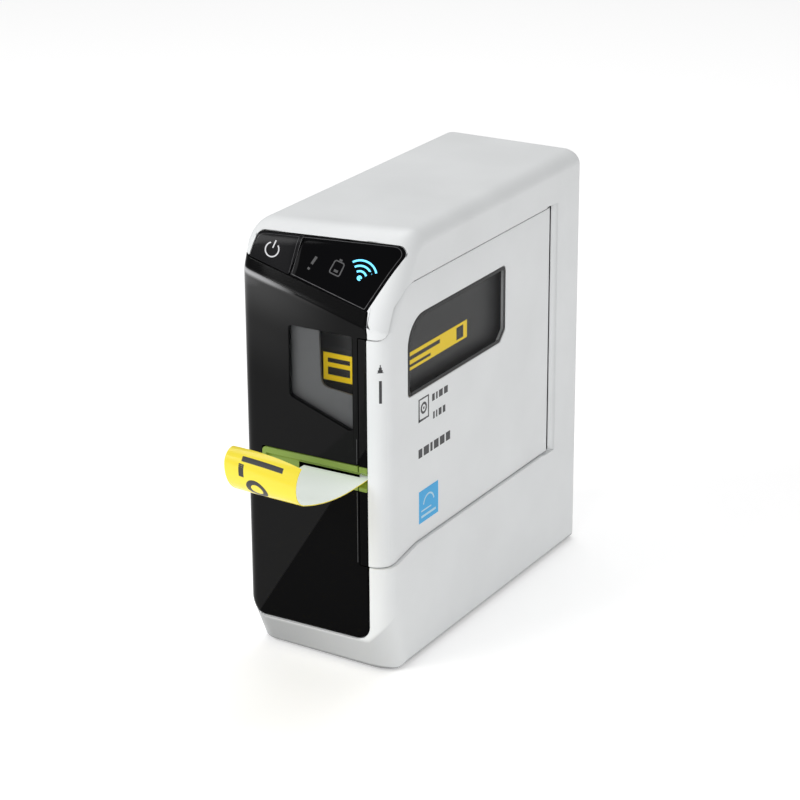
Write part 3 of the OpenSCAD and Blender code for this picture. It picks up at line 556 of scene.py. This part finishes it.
# ------------------------------------------------------------------ front panel
# Polished black moulding that covers the front and wraps round the left edge.
# It clips on from the front, and holds the window and the exit trim.
pane_low, pane_high = corners_mm("front_window")
pane_lip = 1.2
window_left = pane_low.x + pane_lip
window_right = pane_high.x - pane_lip
window_top = pane_high.z - pane_lip
window_foot_right = pane_low.z + pane_lip
window_foot_left = window_foot_right + 8.3


def window_outline(gap):
    """Front window, level on top and slanting down to the right below."""
    return rounded([
        (window_left + gap, window_foot_left + gap, 1.6), (window_left + gap, window_top - gap, 1.2),
        (window_right - gap, window_top - gap, 0.9), (window_right - gap, window_foot_right + gap, 0.9)])


trim_low, trim_high = corners_mm("exit_trim")
panel = body_skin("black_front", wall)
keep(panel, prism(panel_outline(0.0), front - past, front + panel_depth, front_on))
cut(
    panel,
    prism(window_outline(0.0), front - past, front + wall + 2, front_on),
    block((strip_left - 0.15, front - past, corner_foot), (half, front + past, corner_top)),
    block((trim_low.x - 0.1, front - past, trim_low.z - 0.1), (half, front + past, trim_high.z + 0.1)))
soften(panel, 0.3)
piano_black = moulded("piano_black", (0.0022, 0.0022, 0.0024), 0.10, 0.02, 0.1, 0.03)


def worked(tree, operation, *values):
    """One step of arithmetic on sockets or constants; returns the result."""
    step = tree.nodes.new("ShaderNodeMath")
    step.operation = operation
    for place, value in zip(step.inputs, values):
        if isinstance(value, bpy.types.NodeSocket):
            tree.links.new(value, place)
        else:
            place.default_value = value
    return step.outputs["Value"]


def sheen_below_crease(material, dull, bright):
    """Highlight below the crease that fades to the right, and a diagonal step in tone.

    Painted in place of the reflections of a studio: the real plastic has one finish.
    """
    tree = material.node_tree
    shader = tree.nodes["Principled BSDF"]
    parts = object_parts(tree, "Object")
    crease = worked(tree, "MULTIPLY_ADD", parts["X"], -crease_slope, crease_mid * mm)
    drop = worked(tree, "SUBTRACT", crease, parts["Z"])
    curve = tree.nodes.new("ShaderNodeValToRGB")
    curve.color_ramp.interpolation = "EASE"
    curve.color_ramp.elements[0].color = (0, 0, 0, 1)
    curve.color_ramp.elements[1].color = (0, 0, 0, 1)
    for position, value in ((0.015, 0.0), (0.05, 1.0), (0.10, 0.5), (0.5, 0.12)):
        curve.color_ramp.elements.new(position).color = (value, value, value, 1)
    tree.links.new(ranged(tree, drop, -0.002, 0.034), curve.inputs["Fac"])
    left = ranged(tree, parts["X"], 0.012, -0.026, easing="SMOOTHSTEP")
    glint = worked(tree, "MULTIPLY", curve.outputs["Color"], left)
    diagonal = worked(tree, "MULTIPLY_ADD", parts["X"], 1.85, drop)
    above = ranged(tree, diagonal, 0.0756, 0.0746, 0.0, 0.09)
    level = worked(tree, "ADD", ranged(tree, glint, 0.0, 1.0, dull, bright), above)
    tree.links.new(level, shader.inputs["Specular IOR Level"])
    tone = shader.inputs["Base Color"].links[0].from_socket
    grey = mixed(tree, "MIX", ranged(tree, glint, 0.45, 1.0), tone, (0.42, 0.42, 0.43, 1))
    tree.links.new(grey, shader.inputs["Base Color"])


sheen_below_crease(piano_black, 0.03, 1.0)
dress(panel, piano_black, "housing", "gloss_black", "front_panel")

# Smoked window of the front panel: a clear plate welded in flush from behind
smoked = moulded("smoked_clear", (0.010, 0.011, 0.012), 0.06, 0.01, 0.1, 0.3)
smoked.node_tree.nodes["Principled BSDF"].inputs["Alpha"].default_value = 0.16
pane = prism(window_outline(0.12), front + 0.25, front + 1.6, front_on)
pane.name = "front_pane"
soften(pane, 0.25)
dress(pane, smoked, "housing", "smoked_clear", "front_window")

# Pale guide wall that shows behind the left and the foot of the window. It has no CAD
# node, and its edges are judged
liner_left = window_left - 1.5
liner_top = window_top + 1.5
liner_inner = 0.6
liner_end = strip_left - 1
liner_foot = window_foot_right + 0.5
liner = prism(
    rounded([(liner_left, liner_foot + 4, 1), (liner_left, liner_top, 1), (liner_inner, liner_top, 1),
             (liner_inner + 0.6, liner_foot + 12, 3), (liner_end, liner_foot + 10.6, 0.5),
             (liner_end, liner_foot, 0.5), (0, liner_foot, 1)]),
    front + 2.6, front + 3.4, front_on)
liner.name = "window_liner"
soften(liner, 0.2)
liner_grey = moulded("liner_grey", (0.17, 0.174, 0.178), 0.5)
dress(liner, liner_grey, "housing", "chassis_grey")

# ------------------------------------------------------------------ controls
# Dead-front lens over the lamps, with the power button beside it: both polished
# black, flush with the sloped facet, with a fine bright line moulded inside the edge.
lens = body_skin("control_lens_plate", 1.5)
split_low, split_high = control_split


def side_of_split(shift, far):
    """Area on one side of the split between the lens and the key, out to far."""
    foot = control_foot - 9
    return [(split_low + shift, foot), (split_high - 0.52 + shift, 40), (far, 40), (far, foot)]


lens_zone = side_of_split(0.12, 60)
button_zone = side_of_split(-0.12, -60)
keep(lens, prism(control_outline(0.12), -8, 9, facet_on))
keep(lens, prism(lens_zone, -9, 10, facet_on))
soften(lens, 0.3)
lens_black = moulded("lens_black", (0.003, 0.003, 0.0035), 0.08, 0.01, 0.1, 0.04)
dress(lens, lens_black, "housing", "lens_black", "control_lens")

button = body_skin("power_key", 2.4)
keep(button, prism(button_zone, -9, 10, facet_on))
keep(button, prism(control_outline(0.12), -8, 9, facet_on))
soften(button, 0.3)
key_black = moulded("key_black", (0.009, 0.009, 0.010), 0.16, 0.06, 0.1, 0.12)
dress(button, key_black, "button", "gloss_black", "power_button")


skin_solid = body_form(0.0, half)
skin_tree = BVHTree.FromBMesh(skin_solid)
skin_solid.free()


def skin_point(start, heading, lift):
    """Where a line meets the body's skin, raised by lift along the skin's normal."""
    place, normal, _, _ = skin_tree.ray_cast(start * mm, heading)
    return place / mm + normal * lift


def facet_point(u, v, lift):
    """Point on the twisted facet, found from its place on the flat drawing."""
    inward = (facet_on.to_3x3() @ Vector((0, 0, 1))).normalized()
    return skin_point(facet_on @ Vector((u, v, -12)), inward, lift)


def front_point(u, v, lift):
    """Point on the upright front."""
    return skin_point(Vector((u, front - 9, v)), Vector((0, 1, 0)), lift)


def marks(name, strokes, place, lift, sink=0.15):
    """Thin raised marks, each a (line, width) stroke that follows the surface under it."""
    solid = bmesh.new()
    for line, width in strokes:
        across = max(1, math.ceil(width / 0.35))
        rows = []
        for i, point in enumerate(line):
            before = Vector(line[max(i - 1, 0)])
            after = Vector(line[min(i + 1, len(line) - 1)])
            run = (after - before).normalized()
            side = Vector((-run.y, run.x)) * width
            spread = [Vector(point) + side * (k / across - 0.5) for k in range(across + 1)]
            ring = [place(p.x, p.y, lift) for p in spread]
            ring += [place(p.x, p.y, -sink) for p in reversed(spread)]
            rows.append([solid.verts.new(Vector(corner) * mm) for corner in ring])
        for one, other in zip(rows, rows[1:]):
            for k in range(len(one)):
                solid.faces.new((one[k - 1], one[k], other[k], other[k - 1]))
        for row in (rows[0], rows[-1]):
            for k in range(across):
                solid.faces.new((row[k], row[k + 1], row[-2 - k], row[-1 - k]))
    bmesh.ops.recalc_face_normals(solid, faces=solid.faces)
    return new_object(name, solid)


def arc(u, v, radius, start, end, steps=20):
    """Points round a circle, from one angle in degrees to another."""
    turn = [math.radians(start + (end - start) * k / steps) for k in range(steps + 1)]
    return [(u + radius * math.cos(a), v + radius * math.sin(a)) for a in turn]


def bar(u0, v0, u1, v1, steps=1):
    """Straight line in short steps, so that it can follow a curved surface."""
    return [(u0 + (u1 - u0) * k / steps, v0 + (v1 - v0) * k / steps) for k in range(steps + 1)]


def lit(name, colour, glow):
    """Printed mark that glows a little, for the lamp behind it."""
    material = moulded(name, colour, 0.4, grain=0.02)
    glowing(material.node_tree.nodes["Principled BSDF"], colour, glow)
    return material


# Power mark on the key: a broken ring with a bar
ring_u = -19.9
ring_v = 9.6
power_mark = marks(
    "power_mark",
    [(arc(ring_u, ring_v, 2.3, 125, 415), 0.42), (bar(ring_u, ring_v + 0.5, ring_u, ring_v + 3.1), 0.42)],
    facet_point, 0.09)
dress(power_mark, lit("mark_grey", (0.55, 0.55, 0.57), 0.25), "button", "bezel_grey")

# Two dim lamps: a warning mark and a cartridge mark
dim_marks = marks(
    "dim_marks",
    [(bar(-5.7, 10.9, -5.2, 13.6, 4), 0.85), (bar(-6.05, 8.9, -5.9, 9.6), 0.8),
     (arc(3.6, 14.6, 0.7, 0, 90, 5) + arc(1.6, 14.6, 0.7, 90, 180, 5)
      + arc(1.3, 11.6, 0.6, 180, 270, 5) + arc(3.7, 11.6, 0.6, 270, 360, 5) + [(4.3, 14.6)], 0.4),
     (bar(2.1, 15.9, 3.1, 15.9), 0.6), (bar(1.9, 12.2, 3.3, 12.2), 0.8)],
    facet_point, 0.09)
dress(dim_marks, lit("mark_dim", (0.05, 0.05, 0.052), 0.1), "housing", "light_guide")

# Lit lamp: a dot with three arcs over it, for the radio link
lit_u = 10.6
lit_v = 13.4
radio_mark = marks(
    "radio_mark",
    [(arc(lit_u, lit_v, radius, 40, 140, 14), 0.62) for radius in (2.2, 3.9, 5.6)]
    + [(arc(lit_u, lit_v, 0.45, 0, 330, 12), 0.8)],
    facet_point, 0.09)
dress(radio_mark, lit("mark_blue", (0.12, 0.55, 0.85), 1.1), "housing", "light_guide")

def fine(points, pitch=0.8):
    """The same line with its long stretches cut into short ones."""
    line = [points[0]]
    for one, other in zip(points, points[1:]):
        count = max(1, math.ceil((Vector(other) - Vector(one)).length / pitch))
        line += bar(*one, *other, count)[1:]
    return line


# Fine bright lines moulded just inside the edges of the lens and of the key
inner = [tuple(point) for point in control_outline(0.75)]
top_slope = (inner[18][1] - inner[17][1]) / (inner[18][0] - inner[17][0])


def top_edge(u):
    """Height of the lens's inner top line at u."""
    return inner[17][1] + top_slope * (u - inner[17][0])


lens_left = [(split_low + 0.5, inner[-1][1]), (split_high - 0.1, top_edge(split_high - 0.1))]
key_right = [(split_low - 0.6, inner[-1][1]), (split_high - 1.2, top_edge(split_high - 1.2))]
rim_line = marks(
    "lens_rim",
    [(fine([lens_left[1]] + inner[18:] + [lens_left[0]]), 0.2), (fine(lens_left), 0.12),
     (fine([key_right[1]] + inner[17:8:-1]), 0.12), (fine(key_right), 0.12)],
    facet_point, 0.09)
rim_grey = moulded("rim_grey", (0.055, 0.055, 0.058), 0.3)
dress(rim_line, rim_grey, "housing", "bezel_grey", "control_bezel")

# Painted highlight: a fine grey line down the panel, beside the strip that opens with the cover, in place of
# the light caught on the strip's edge
edge_highlight_u = strip_left - 0.75
painted_edge_highlight = marks(
    "painted_edge_highlight", [(bar(edge_highlight_u, corner_foot + 1, edge_highlight_u, trim_low.z - 0.6, 20), 0.16),
                   (bar(edge_highlight_u, trim_high.z + 0.6, edge_highlight_u, window_foot_right - 2, 8), 0.16)],
    front_point, 0.03)
dress(painted_edge_highlight, moulded("edge_highlight_grey", (0.06, 0.06, 0.063), 0.3), "housing", "gloss_black")

# ------------------------------------------------------------------ exit trim
# Lime-green lips round the label slot: a long piece in the front panel and a
# short end piece that swings away with the tape cover.
tape_low, tape_high = corners_mm("label_strip")
tape_half = 0.15
slot_mid = tape_low.z + tape_half
slot_half = 1.2
funnel_left = trim_low.x + 1.45
slot_left = -6.6
lime = moulded("lime_lips", (0.21, 0.31, 0.05), 0.2, 0.04, 0.05, 0.3)


def lips(name, left, right, left_round, funnel_start, slot_start):
    """One stretch of the green lips, with a funnel down to the slot."""
    outline = rounded([
        (left, trim_low.z, left_round), (right, trim_low.z, 0.25),
        (right, trim_high.z, 0.25), (left, trim_high.z, left_round)])
    piece = prism(outline, front - 0.35, front + 2.7, front_on)
    piece.name = name
    mouth = slot_half + 1.5
    throat = slot_half + 0.1
    funnel_ends = []
    for x in (funnel_start, right + 1):
        funnel_ends.append([
            (x, front - 0.6, slot_mid - mouth), (x, front + 1.3, slot_mid - throat),
            (x, front + 1.3, slot_mid + throat), (x, front - 0.6, slot_mid + mouth)])
    slot_low = (slot_start, front - 2, slot_mid - slot_half)
    slot_high = (right + 1, front + 4, slot_mid + slot_half)
    cut(piece, new_object("funnel", loft(funnel_ends)), block(slot_low, slot_high))
    return soften(piece, 0.22)


lips_long = lips("green_lips", trim_low.x + 0.05, strip_left - 0.3, 1.4, funnel_left, slot_left)
dress(lips_long, lime, "housing", "lime_green", "exit_trim")
end_left = strip_left + 0.1
lips_end = lips("green_lips_end", end_left, strip_right - 0.1, 0.3, end_left - 1, end_left - 1)
dress(lips_end, lime, "cover", "lime_green", "exit_trim_end")

# ------------------------------------------------------------------ tape cover
# White cover that swings out from its back edge. It wraps round the front corner,
# where it holds a black strip that continues the front panel.
cover = body_skin("cover_moulding", wall, right=cover_face)
keep(cover, prism(cover_outline(seam), strip_left - 0.1, half, side_on))
side_front = front + 14.5
side_back = hinge_y - 30.6
side_top = cover_top - 12.2
side_foot = cover_top - 38.4
side_window_corners = [
    (side_front, side_foot, 1.6), (side_front, side_top, 10), (side_back, side_top, 1.6),
    (side_back, side_foot + 3.4, 1.0), (side_back - 3.6, side_foot, 1.0)]


def side_outline(gap):
    """Side window, with one large round and one cut corner."""
    middle_u = front + 46
    middle_v = side_foot + 13
    drawn = []
    for u, v, radius in side_window_corners:
        drawn.append((u - math.copysign(gap, u - middle_u), v - math.copysign(gap, v - middle_v), radius))
    return rounded(drawn)


cut(
    cover,
    prism(panel_outline(0.0), front - past, front + wall + 0.6, front_on),
    prism(side_outline(0.0), cover_face - wall - 1, half + 1, side_on))
barrel = prism(ring_of(hinge_x, hinge_y, barrel_radius), cover_foot + seam, cover_top - 0.65, plan_on)
combine(cover, barrel, "UNION")
soften(cover, 0.25)
cover_white = moulded("cover_white", (0.80, 0.815, 0.82), 0.34, grain=0.2)
dress(cover, cover_white, "cover", "white_cover", "tape_cover")

strip = body_skin("black_strip", wall, right=cover_face)
keep(strip, block((strip_left + 0.1, front - past, corner_foot + seam),
                  (strip_right - 0.05, front + wall, corner_top - seam)))
cut(strip, block((strip_left - 1, front - past, trim_low.z), (half, front + past, trim_high.z)))
soften(strip, 0.2)
dress(strip, piano_black, "cover", "gloss_black", "cover_front_strip")

side_pane = prism(side_outline(0.12), cover_face - 1.7, cover_face - 0.15, side_on)
side_pane.name = "side_pane"
soften(side_pane, 0.2)
dress(side_pane, smoked, "cover", "smoked_clear", "cover_window")


def side_point(u, v, lift):
    """Point on the tape cover's flat side."""
    return Vector((cover_face + lift, u, v))


# Dark printed border round the side window
border_line = [tuple(point) for point in side_outline(0.7)]
pane_border = marks("pane_border", [(border_line + border_line[:2], 1.2)], side_point, -0.12, 0.2)
border_black = moulded("border_black", (0.006, 0.006, 0.007), 0.2, 0.02, specular=0.2)
dress(pane_border, border_black, "cover", "gloss_black")

# Printed marks on the cover's side, all plain: a framed ring, rows of dashes and a blue
# patch. Their places are judged from the cover's front edge
ink = moulded("print_ink", (0.035, 0.035, 0.038), 0.45, grain=0.05)


def dashes(u, v, lengths, width, gap=0.9):
    """A row of short bars, one after another."""
    row = []
    for length in lengths:
        row.append((bar(u, v, u + length, v), width))
        u += length + gap
    return row


mark_y = front + 21.3
ruled = [
    ([(mark_y, 82.2), (mark_y + 6, 82.2), (mark_y + 6, 89.4), (mark_y, 89.4), (mark_y, 81.8)], 0.8),
    (arc(mark_y + 3, 86.0, 1.6, 0, 360, 16), 0.8), (bar(mark_y + 2.6, 86.0, mark_y + 3.4, 86.0), 0.8)]
ruled += dashes(mark_y + 8.4, 87.6, (1.6, 1.0, 2.4, 2.4), 2.4)
ruled += dashes(mark_y + 9.0, 81.4, (1.0, 0.8, 1.8, 1.6), 2.4)
ruled += dashes(mark_y - 0.4, 71.0, (2.4, 3.4, 1.4, 3.0, 3.0, 2.8), 3.0)
side_print = marks("side_print", ruled, side_point, 0.03)
dress(side_print, ink, "cover", "gloss_black")
patch_blue = moulded("patch_blue", (0.012, 0.40, 0.80), 0.35, grain=0.03)
patch = marks("blue_patch", [(bar(mark_y - 0.2, 52.2, mark_y + 12.2, 52.2), 11.2)], side_point, 0.05)
dress(patch, patch_blue, "cover", "label_yellow")
patch_line = marks(
    "patch_lines",
    [(bar(mark_y + 1.2, 48.6, mark_y + 10.6, 48.6), 0.8),
     (bar(mark_y + 1.2, 50.6, mark_y + 7.6, 50.6), 0.5),
     (arc(mark_y + 6, 52.0, 3.4, 10, 170), 0.6)],
    side_point, 0.08)
dress(patch_line, moulded("patch_white", (0.45, 0.70, 0.85), 0.4), "cover", "white_cover")

def corner_point(u, v, lift):
    """Point on the cover's rounded front corner; u runs round the arc in mm."""
    radius = right_rounds[1]
    angle = u / radius
    centre = Vector((cover_face - radius, front + radius, v))
    return centre + Vector((math.sin(angle), -math.cos(angle), 0)) * (radius + lift)


# Mark on the front corner that shows where to pull: a triangle with a rule under it
pull_u = 4.5
pull_strokes = [(bar(pull_u, 94.5, pull_u, 102.0), 0.9)]
for k in range(-3, 4):
    stroke_u = pull_u + 0.3 * k
    pull_strokes.append((bar(stroke_u, 104.6, stroke_u, 107.3 - 0.85 * abs(k)), 0.32))
pull_mark = marks("pull_mark", pull_strokes, corner_point, 0.03)
dress(pull_mark, ink, "cover", "gloss_black")

# ------------------------------------------------------------------ cartridge
# Dark case with a lid, snapped together round the rolls, with yellow paper labels
# on its side and front. The labels carry plain bars. Their places are judged,
# and so is the glow that lets them show through the panes.
label_yellow = moulded("paper_yellow", (0.92, 0.66, 0.005), 0.45, grain=0.03)
# Painted light: the paper labels glow, though they are no lamp, so that they show through the smoked panes
glowing(label_yellow.node_tree.nodes["Principled BSDF"], (0.95, 0.66, 0.01), 0.5)
lid_side = corners_mm("cartridge_lid")[1].x


def lid_point(u, v, lift):
    """Point on the cartridge's side."""
    return Vector((lid_side + lift, u, v))


side_label = marks("side_label", [(bar(front + 12, 102.1, front + 58, 102.1), 6.0)], lid_point, 0.12)
dress(side_label, label_yellow, "housing", "label_yellow", "cartridge_labels")
label_bars = [
    (bar(front + 16, 103.2, front + 40, 103.2), 1.3), (bar(front + 16, 100.6, front + 34, 100.6), 0.9),
    (bar(front + 53.2, 100.0, front + 53.2, 104.2), 4.4)]
label_ink = marks("side_label_bars", label_bars, lid_point, 0.18)
dress(label_ink, ink, "housing", "gloss_black")
case_front = corners_mm("cartridge_case")[0].y


def case_front_point(u, v, lift):
    """Point on the cartridge's front face."""
    return Vector((u, case_front - lift, v))


front_label = marks("front_label", [(bar(-2.3, 100.0, 14.6, 100.0), 9.2)], case_front_point, 0.12)
dress(front_label, label_yellow, "housing", "label_yellow")
front_label_ink = marks(
    "front_label_bars",
    [(bar(-0.6, 102.2, 7.6, 102.2), 1.5), (bar(-0.6, 98.6, 7.6, 98.6), 2.6),
     (bar(-2.0, 106.4, 8.0, 106.4), 0.7)],
    case_front_point, 0.18)
dress(front_label_ink, ink, "housing", "gloss_black")

# ------------------------------------------------------------------ label
# The printed tape that has left the slot: white backing on top, glossy yellow
# film below, curling up and over, a little more at its left edge. The curl and the
# backing's glow are judged.
columns = 12


def label_line(share):
    """Places and headings along the tape, from its right edge (0) to its left (1)."""
    def mix(right, left):
        return right + (left - right) * share
    rise = math.radians(mix(20, 22.5))
    bends = [(mix(85, 75), rise), (mix(6.3, 11.5), math.pi / 2), (mix(7.5, 4.2), math.radians(mix(147, 192)))]
    y, z, heading = tape_high.y, slot_mid, 0.0
    line = [(y, z, heading)]
    straight = 13.6
    for _ in range(4):
        y -= straight / 4
        line.append((y, z, heading))
    steps = 14
    for radius, end_heading in bends:
        turn = (end_heading - heading) / steps
        for _ in range(steps):
            middle = heading + turn / 2
            y -= math.cos(middle) * radius * turn
            z += math.sin(middle) * radius * turn
            heading += turn
            line.append((y, z, heading))
    return line


label_lines = [label_line(k / columns) for k in range(columns + 1)]


def label_point(share, step, lift):
    """Point on the tape; lift is above the backing, negative below the film."""
    k = min(share * columns, columns - 0.001)
    low_line, high_line, part = label_lines[int(k)], label_lines[int(k) + 1], k % 1
    s = min(step, len(low_line) - 1.001)
    row = []
    for line in (low_line, high_line):
        a, b, t = line[int(s)], line[int(s) + 1], s % 1
        row.append([p + (q - p) * t for p, q in zip(a, b)])
    y, z, heading = (p + (q - p) * part for p, q in zip(*row))
    x = tape_high.x + (tape_low.x - tape_high.x) * share
    return Vector((x, y + math.sin(heading) * lift, z + math.cos(heading) * lift))


label_solid = bmesh.new()
label_steps = len(label_lines[0])
sheets = []
for lift in (tape_half, -tape_half):
    sheets.append([[label_solid.verts.new(label_point(k / columns, s, lift) * mm) for k in range(columns + 1)]
                   for s in range(label_steps)])
for s in range(label_steps - 1):
    for k in range(columns):
        upper = [sheets[0][s][k], sheets[0][s + 1][k], sheets[0][s + 1][k + 1], sheets[0][s][k + 1]]
        label_solid.faces.new(upper).material_index = 1
        lower = [sheets[1][s][k], sheets[1][s][k + 1], sheets[1][s + 1][k + 1], sheets[1][s + 1][k]]
        label_solid.faces.new(lower)
    for k in (0, columns):
        label_solid.faces.new((sheets[0][s][k], sheets[0][s + 1][k], sheets[1][s + 1][k], sheets[1][s][k]))
for s in (0, label_steps - 1):
    for k in range(columns):
        label_solid.faces.new((sheets[0][s][k], sheets[0][s][k + 1], sheets[1][s][k + 1], sheets[1][s][k]))
bmesh.ops.recalc_face_normals(label_solid, faces=label_solid.faces)
label = new_object("printed_label", label_solid)
label.data.shade_smooth()
label.data.set_sharp_from_angle(angle=math.radians(50))
film_yellow = moulded("film_yellow", (0.92, 0.76, 0.05), 0.22, grain=0.03, spread=0.02)
backing = moulded("backing_white", (0.83, 0.87, 0.83), 0.5, grain=0.1, spread=0.02)
# Painted light: the backing glows, though it is no lamp, to lift it out of the shade it lies in
glowing(backing.node_tree.nodes["Principled BSDF"], (0.83, 0.90, 0.84), 0.3)
dress(label, film_yellow, "housing", "tape_yellow", "label_strip")
label.data.materials.append(backing)

# Length along the middle of the tape, step by step
middle_line = label_lines[columns // 2]
film_run = [0.0]
for one, other in zip(middle_line, middle_line[1:]):
    film_run.append(film_run[-1] + math.dist(one[:2], other[:2]))


def film_point(u, v, lift):
    """Point on the printed side; u is in mm from its right edge, v in mm back from its tip."""
    left = film_run[-1] - v
    step = next(k for k in range(1, label_steps) if film_run[k] >= left or k == label_steps - 1)
    part = (left - film_run[step - 1]) / (film_run[step] - film_run[step - 1])
    return label_point(u / (tape_high.x - tape_low.x), step - 1 + part, -tape_half - lift)


# Print on the film, plain: two bars and a ring
film_print = marks(
    "label_print",
    [(fine([(18.6, 4.3), (5.0, 3.3)]), 1.7), (fine([(18.3, 5.9), (18.3, 9.8)]), 1.7),
     (arc(13.8, 13.2, 2.8, 0, 360, 30), 1.6)],
    film_point, 0.02, 0.05)
dress(film_print, ink, "housing", "ribbon_black")

# ------------------------------------------------------------------ inside
# Everything behind the covers keeps its engineering shape and gets its own
# finish: moulded chassis, steel shafts, acetal gears, boards and cells.


def metal(name, colour, roughness, stretch=(1, 1, 1)):
    """Bare metal with the fine directional lines left by grinding or rolling."""
    material, tree, shader = new_material(name)
    turn = tree.nodes.new("ShaderNodeMapping")
    turn.inputs["Scale"].default_value = stretch
    tree.links.new(tree.nodes.new("ShaderNodeTexCoord").outputs["Object"], turn.inputs["Vector"])
    lines = noise(tree, 1500.0, 4.0, turn.outputs["Vector"])
    tone = two_tones(tree, lines, [c * 0.88 for c in colour], colour)
    gloss = ranged(tree, lines, 0.0, 1.0, roughness * 0.75, roughness * 1.25)
    tree.links.new(tone, shader.inputs["Base Color"])
    tree.links.new(gloss, shader.inputs["Roughness"])
    roughen(tree, shader, lines, 0.2, 0.00002)
    shader.inputs["Metallic"].default_value = 1.0
    return material


def banded(name, low_colour, high_colour, pitch, along, roughness):
    """Wound film or a printed sleeve, with fine bands across its length."""
    material, tree, shader = new_material(name)
    bands = tree.nodes.new("ShaderNodeTexWave")
    bands.bands_direction = along
    bands.inputs["Scale"].default_value = 1 / pitch
    bands.inputs["Distortion"].default_value = 1.5
    tree.links.new(tree.nodes.new("ShaderNodeTexCoord").outputs["Object"], bands.inputs["Vector"])
    tone = two_tones(tree, bands.outputs["Fac"], low_colour, high_colour)
    tree.links.new(tone, shader.inputs["Base Color"])
    shader.inputs["Roughness"].default_value = roughness
    return material


def finish_nodes(material, *names):
    """Puts one finish on CAD nodes that stay as they are."""
    for name in names:
        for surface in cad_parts[name].material_slots:
            surface.material = material


finish_nodes(moulded("base_grey", (0.64, 0.65, 0.66), 0.5), "base_cover")
finish_nodes(moulded("foot_rubber", (0.03, 0.03, 0.032), 0.75, grain=0.5), "rubber_feet")
finish_nodes(moulded("platen_rubber", (0.025, 0.025, 0.027), 0.7, grain=0.4), "platen_roller")
finish_nodes(moulded("chassis_grey", (0.24, 0.25, 0.26), 0.5), "inner_frame", "latch_catch", "battery_tray",
             "cutter_carriage")
finish_nodes(cover_white, "cover_latch")
finish_nodes(moulded("cartridge_dark", (0.018, 0.018, 0.020), 0.35, grain=0.08),
             "cartridge_case", "cartridge_lid")
finish_nodes(moulded("core_grey", (0.5, 0.51, 0.52), 0.5), "tape_core")
finish_nodes(moulded("gear_ivory", (0.76, 0.72, 0.6), 0.4), "platen_gear", "idler_gear", "takeup_gear")
finish_nodes(banded("wound_tape", (0.85, 0.66, 0.03), (0.93, 0.80, 0.12), 0.002, "X", 0.3),
             "tape_roll", "tape_lead")
finish_nodes(banded("wound_ribbon", (0.008, 0.008, 0.01), (0.03, 0.03, 0.035), 0.0015, "X", 0.25),
             "ribbon_supply", "ribbon_takeup")
finish_nodes(metal("ground_steel", (0.58, 0.58, 0.6), 0.3, (30, 1, 1)),
             "platen_shaft", "hinge_pins", "idler_stud", "head_arm", "head_arm_pin", "cutter_rods")
finish_nodes(metal("plated_can", (0.52, 0.52, 0.54), 0.35), "feed_motor", "cutter_motor")
finish_nodes(metal("blade_steel", (0.7, 0.71, 0.72), 0.2, (1, 1, 30)), "cutter_blade", "cutter_anvil")
finish_nodes(metal("hobbed_brass", (0.72, 0.5, 0.2), 0.3), "motor_pinion", "cutter_pinion")
finish_nodes(metal("heat_sink_alloy", (0.66, 0.66, 0.68), 0.4, (1, 40, 1)), "head_heat_sink")
finish_nodes(metal("tinned_socket", (0.62, 0.62, 0.63), 0.3), "usb_socket", "button_switch")
finish_nodes(metal("plated_screw", (0.42, 0.42, 0.44), 0.35), "base_screws")
finish_nodes(moulded("head_glaze", (0.30, 0.10, 0.05), 0.15, grain=0.05), "print_head")
finish_nodes(moulded("solder_green", (0.02, 0.12, 0.05), 0.3, grain=0.2), "main_board", "control_board")
finish_nodes(moulded("chip_resin", (0.015, 0.015, 0.017), 0.5), "board_chips", "dc_jack")
finish_nodes(moulded("flex_amber", (0.5, 0.25, 0.04), 0.25, grain=0.05), "flex_cable")
finish_nodes(moulded("guide_frost", (0.5, 0.7, 0.78), 0.4), "status_leds")
finish_nodes(banded("cell_sleeve", (0.03, 0.16, 0.05), (0.05, 0.25, 0.08), 0.02, "Z", 0.25), "batteries")


def coil(name, x, y, low, high, radius, wire, turns):
    """Compression spring as a wire wound round an upright line."""
    curve = bpy.data.curves.new(name, "CURVE")
    curve.dimensions = "3D"
    curve.bevel_depth = wire * mm
    curve.bevel_resolution = 3
    path = curve.splines.new("POLY")
    count = turns * 18
    path.points.add(count)
    for k in range(count + 1):
        angle = math.tau * turns * k / count
        height = low + wire + (high - low - 2 * wire) * k / count
        place = Vector((x + radius * math.cos(angle), y + radius * math.sin(angle), height)) * mm
        path.points[k].co = (*place, 1)
    drawn = bpy.data.objects.new(name, curve)
    scene.collection.objects.link(drawn)
    graph = bpy.context.evaluated_depsgraph_get()
    item = bpy.data.objects.new(name, bpy.data.meshes.new_from_object(drawn.evaluated_get(graph)))
    bpy.data.objects.remove(drawn)
    scene.collection.objects.link(item)
    item.data.shade_smooth()
    return item


# Springs: one under the print head's arm, and the battery contacts in the same steel
spring_steel = metal("spring_steel", (0.6, 0.6, 0.62), 0.25)
spring_low, spring_high = corners_mm("head_spring")
spring_mid = (spring_low + spring_high) / 2
head_coil = coil("head_coil", spring_mid.x, spring_mid.y, spring_low.z, spring_high.z, 2.6, 0.35, 5)
dress(head_coil, spring_steel, "housing", "steel", "head_spring")
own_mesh(head_coil)
finish_nodes(spring_steel, "battery_contacts")

# Battery cover on the left side: a plain white lid with five grip grooves
door_outline = rounded_box(
    battery_low.y + 0.02, battery_low.z + 0.02, battery_high.y - 0.02, battery_high.z - 0.02, 1)
battery_door = prism(door_outline, -half, -half + wall - 0.1, side_on)
battery_door.name = "battery_lid"
grip_mid = (battery_low.y + battery_high.y) / 2
for row in range(5):
    height = battery_high.z - 9.5 - 2.2 * row
    groove = rounded_box(grip_mid - 9, height - 0.6, grip_mid + 9, height + 0.6, 0.5)
    cut(battery_door, prism(groove, -half - 1, -half + 0.5, side_on))
soften(battery_door, 0.3)
dress(battery_door, shell_white, "battery_door", "white_shell", "battery_cover")
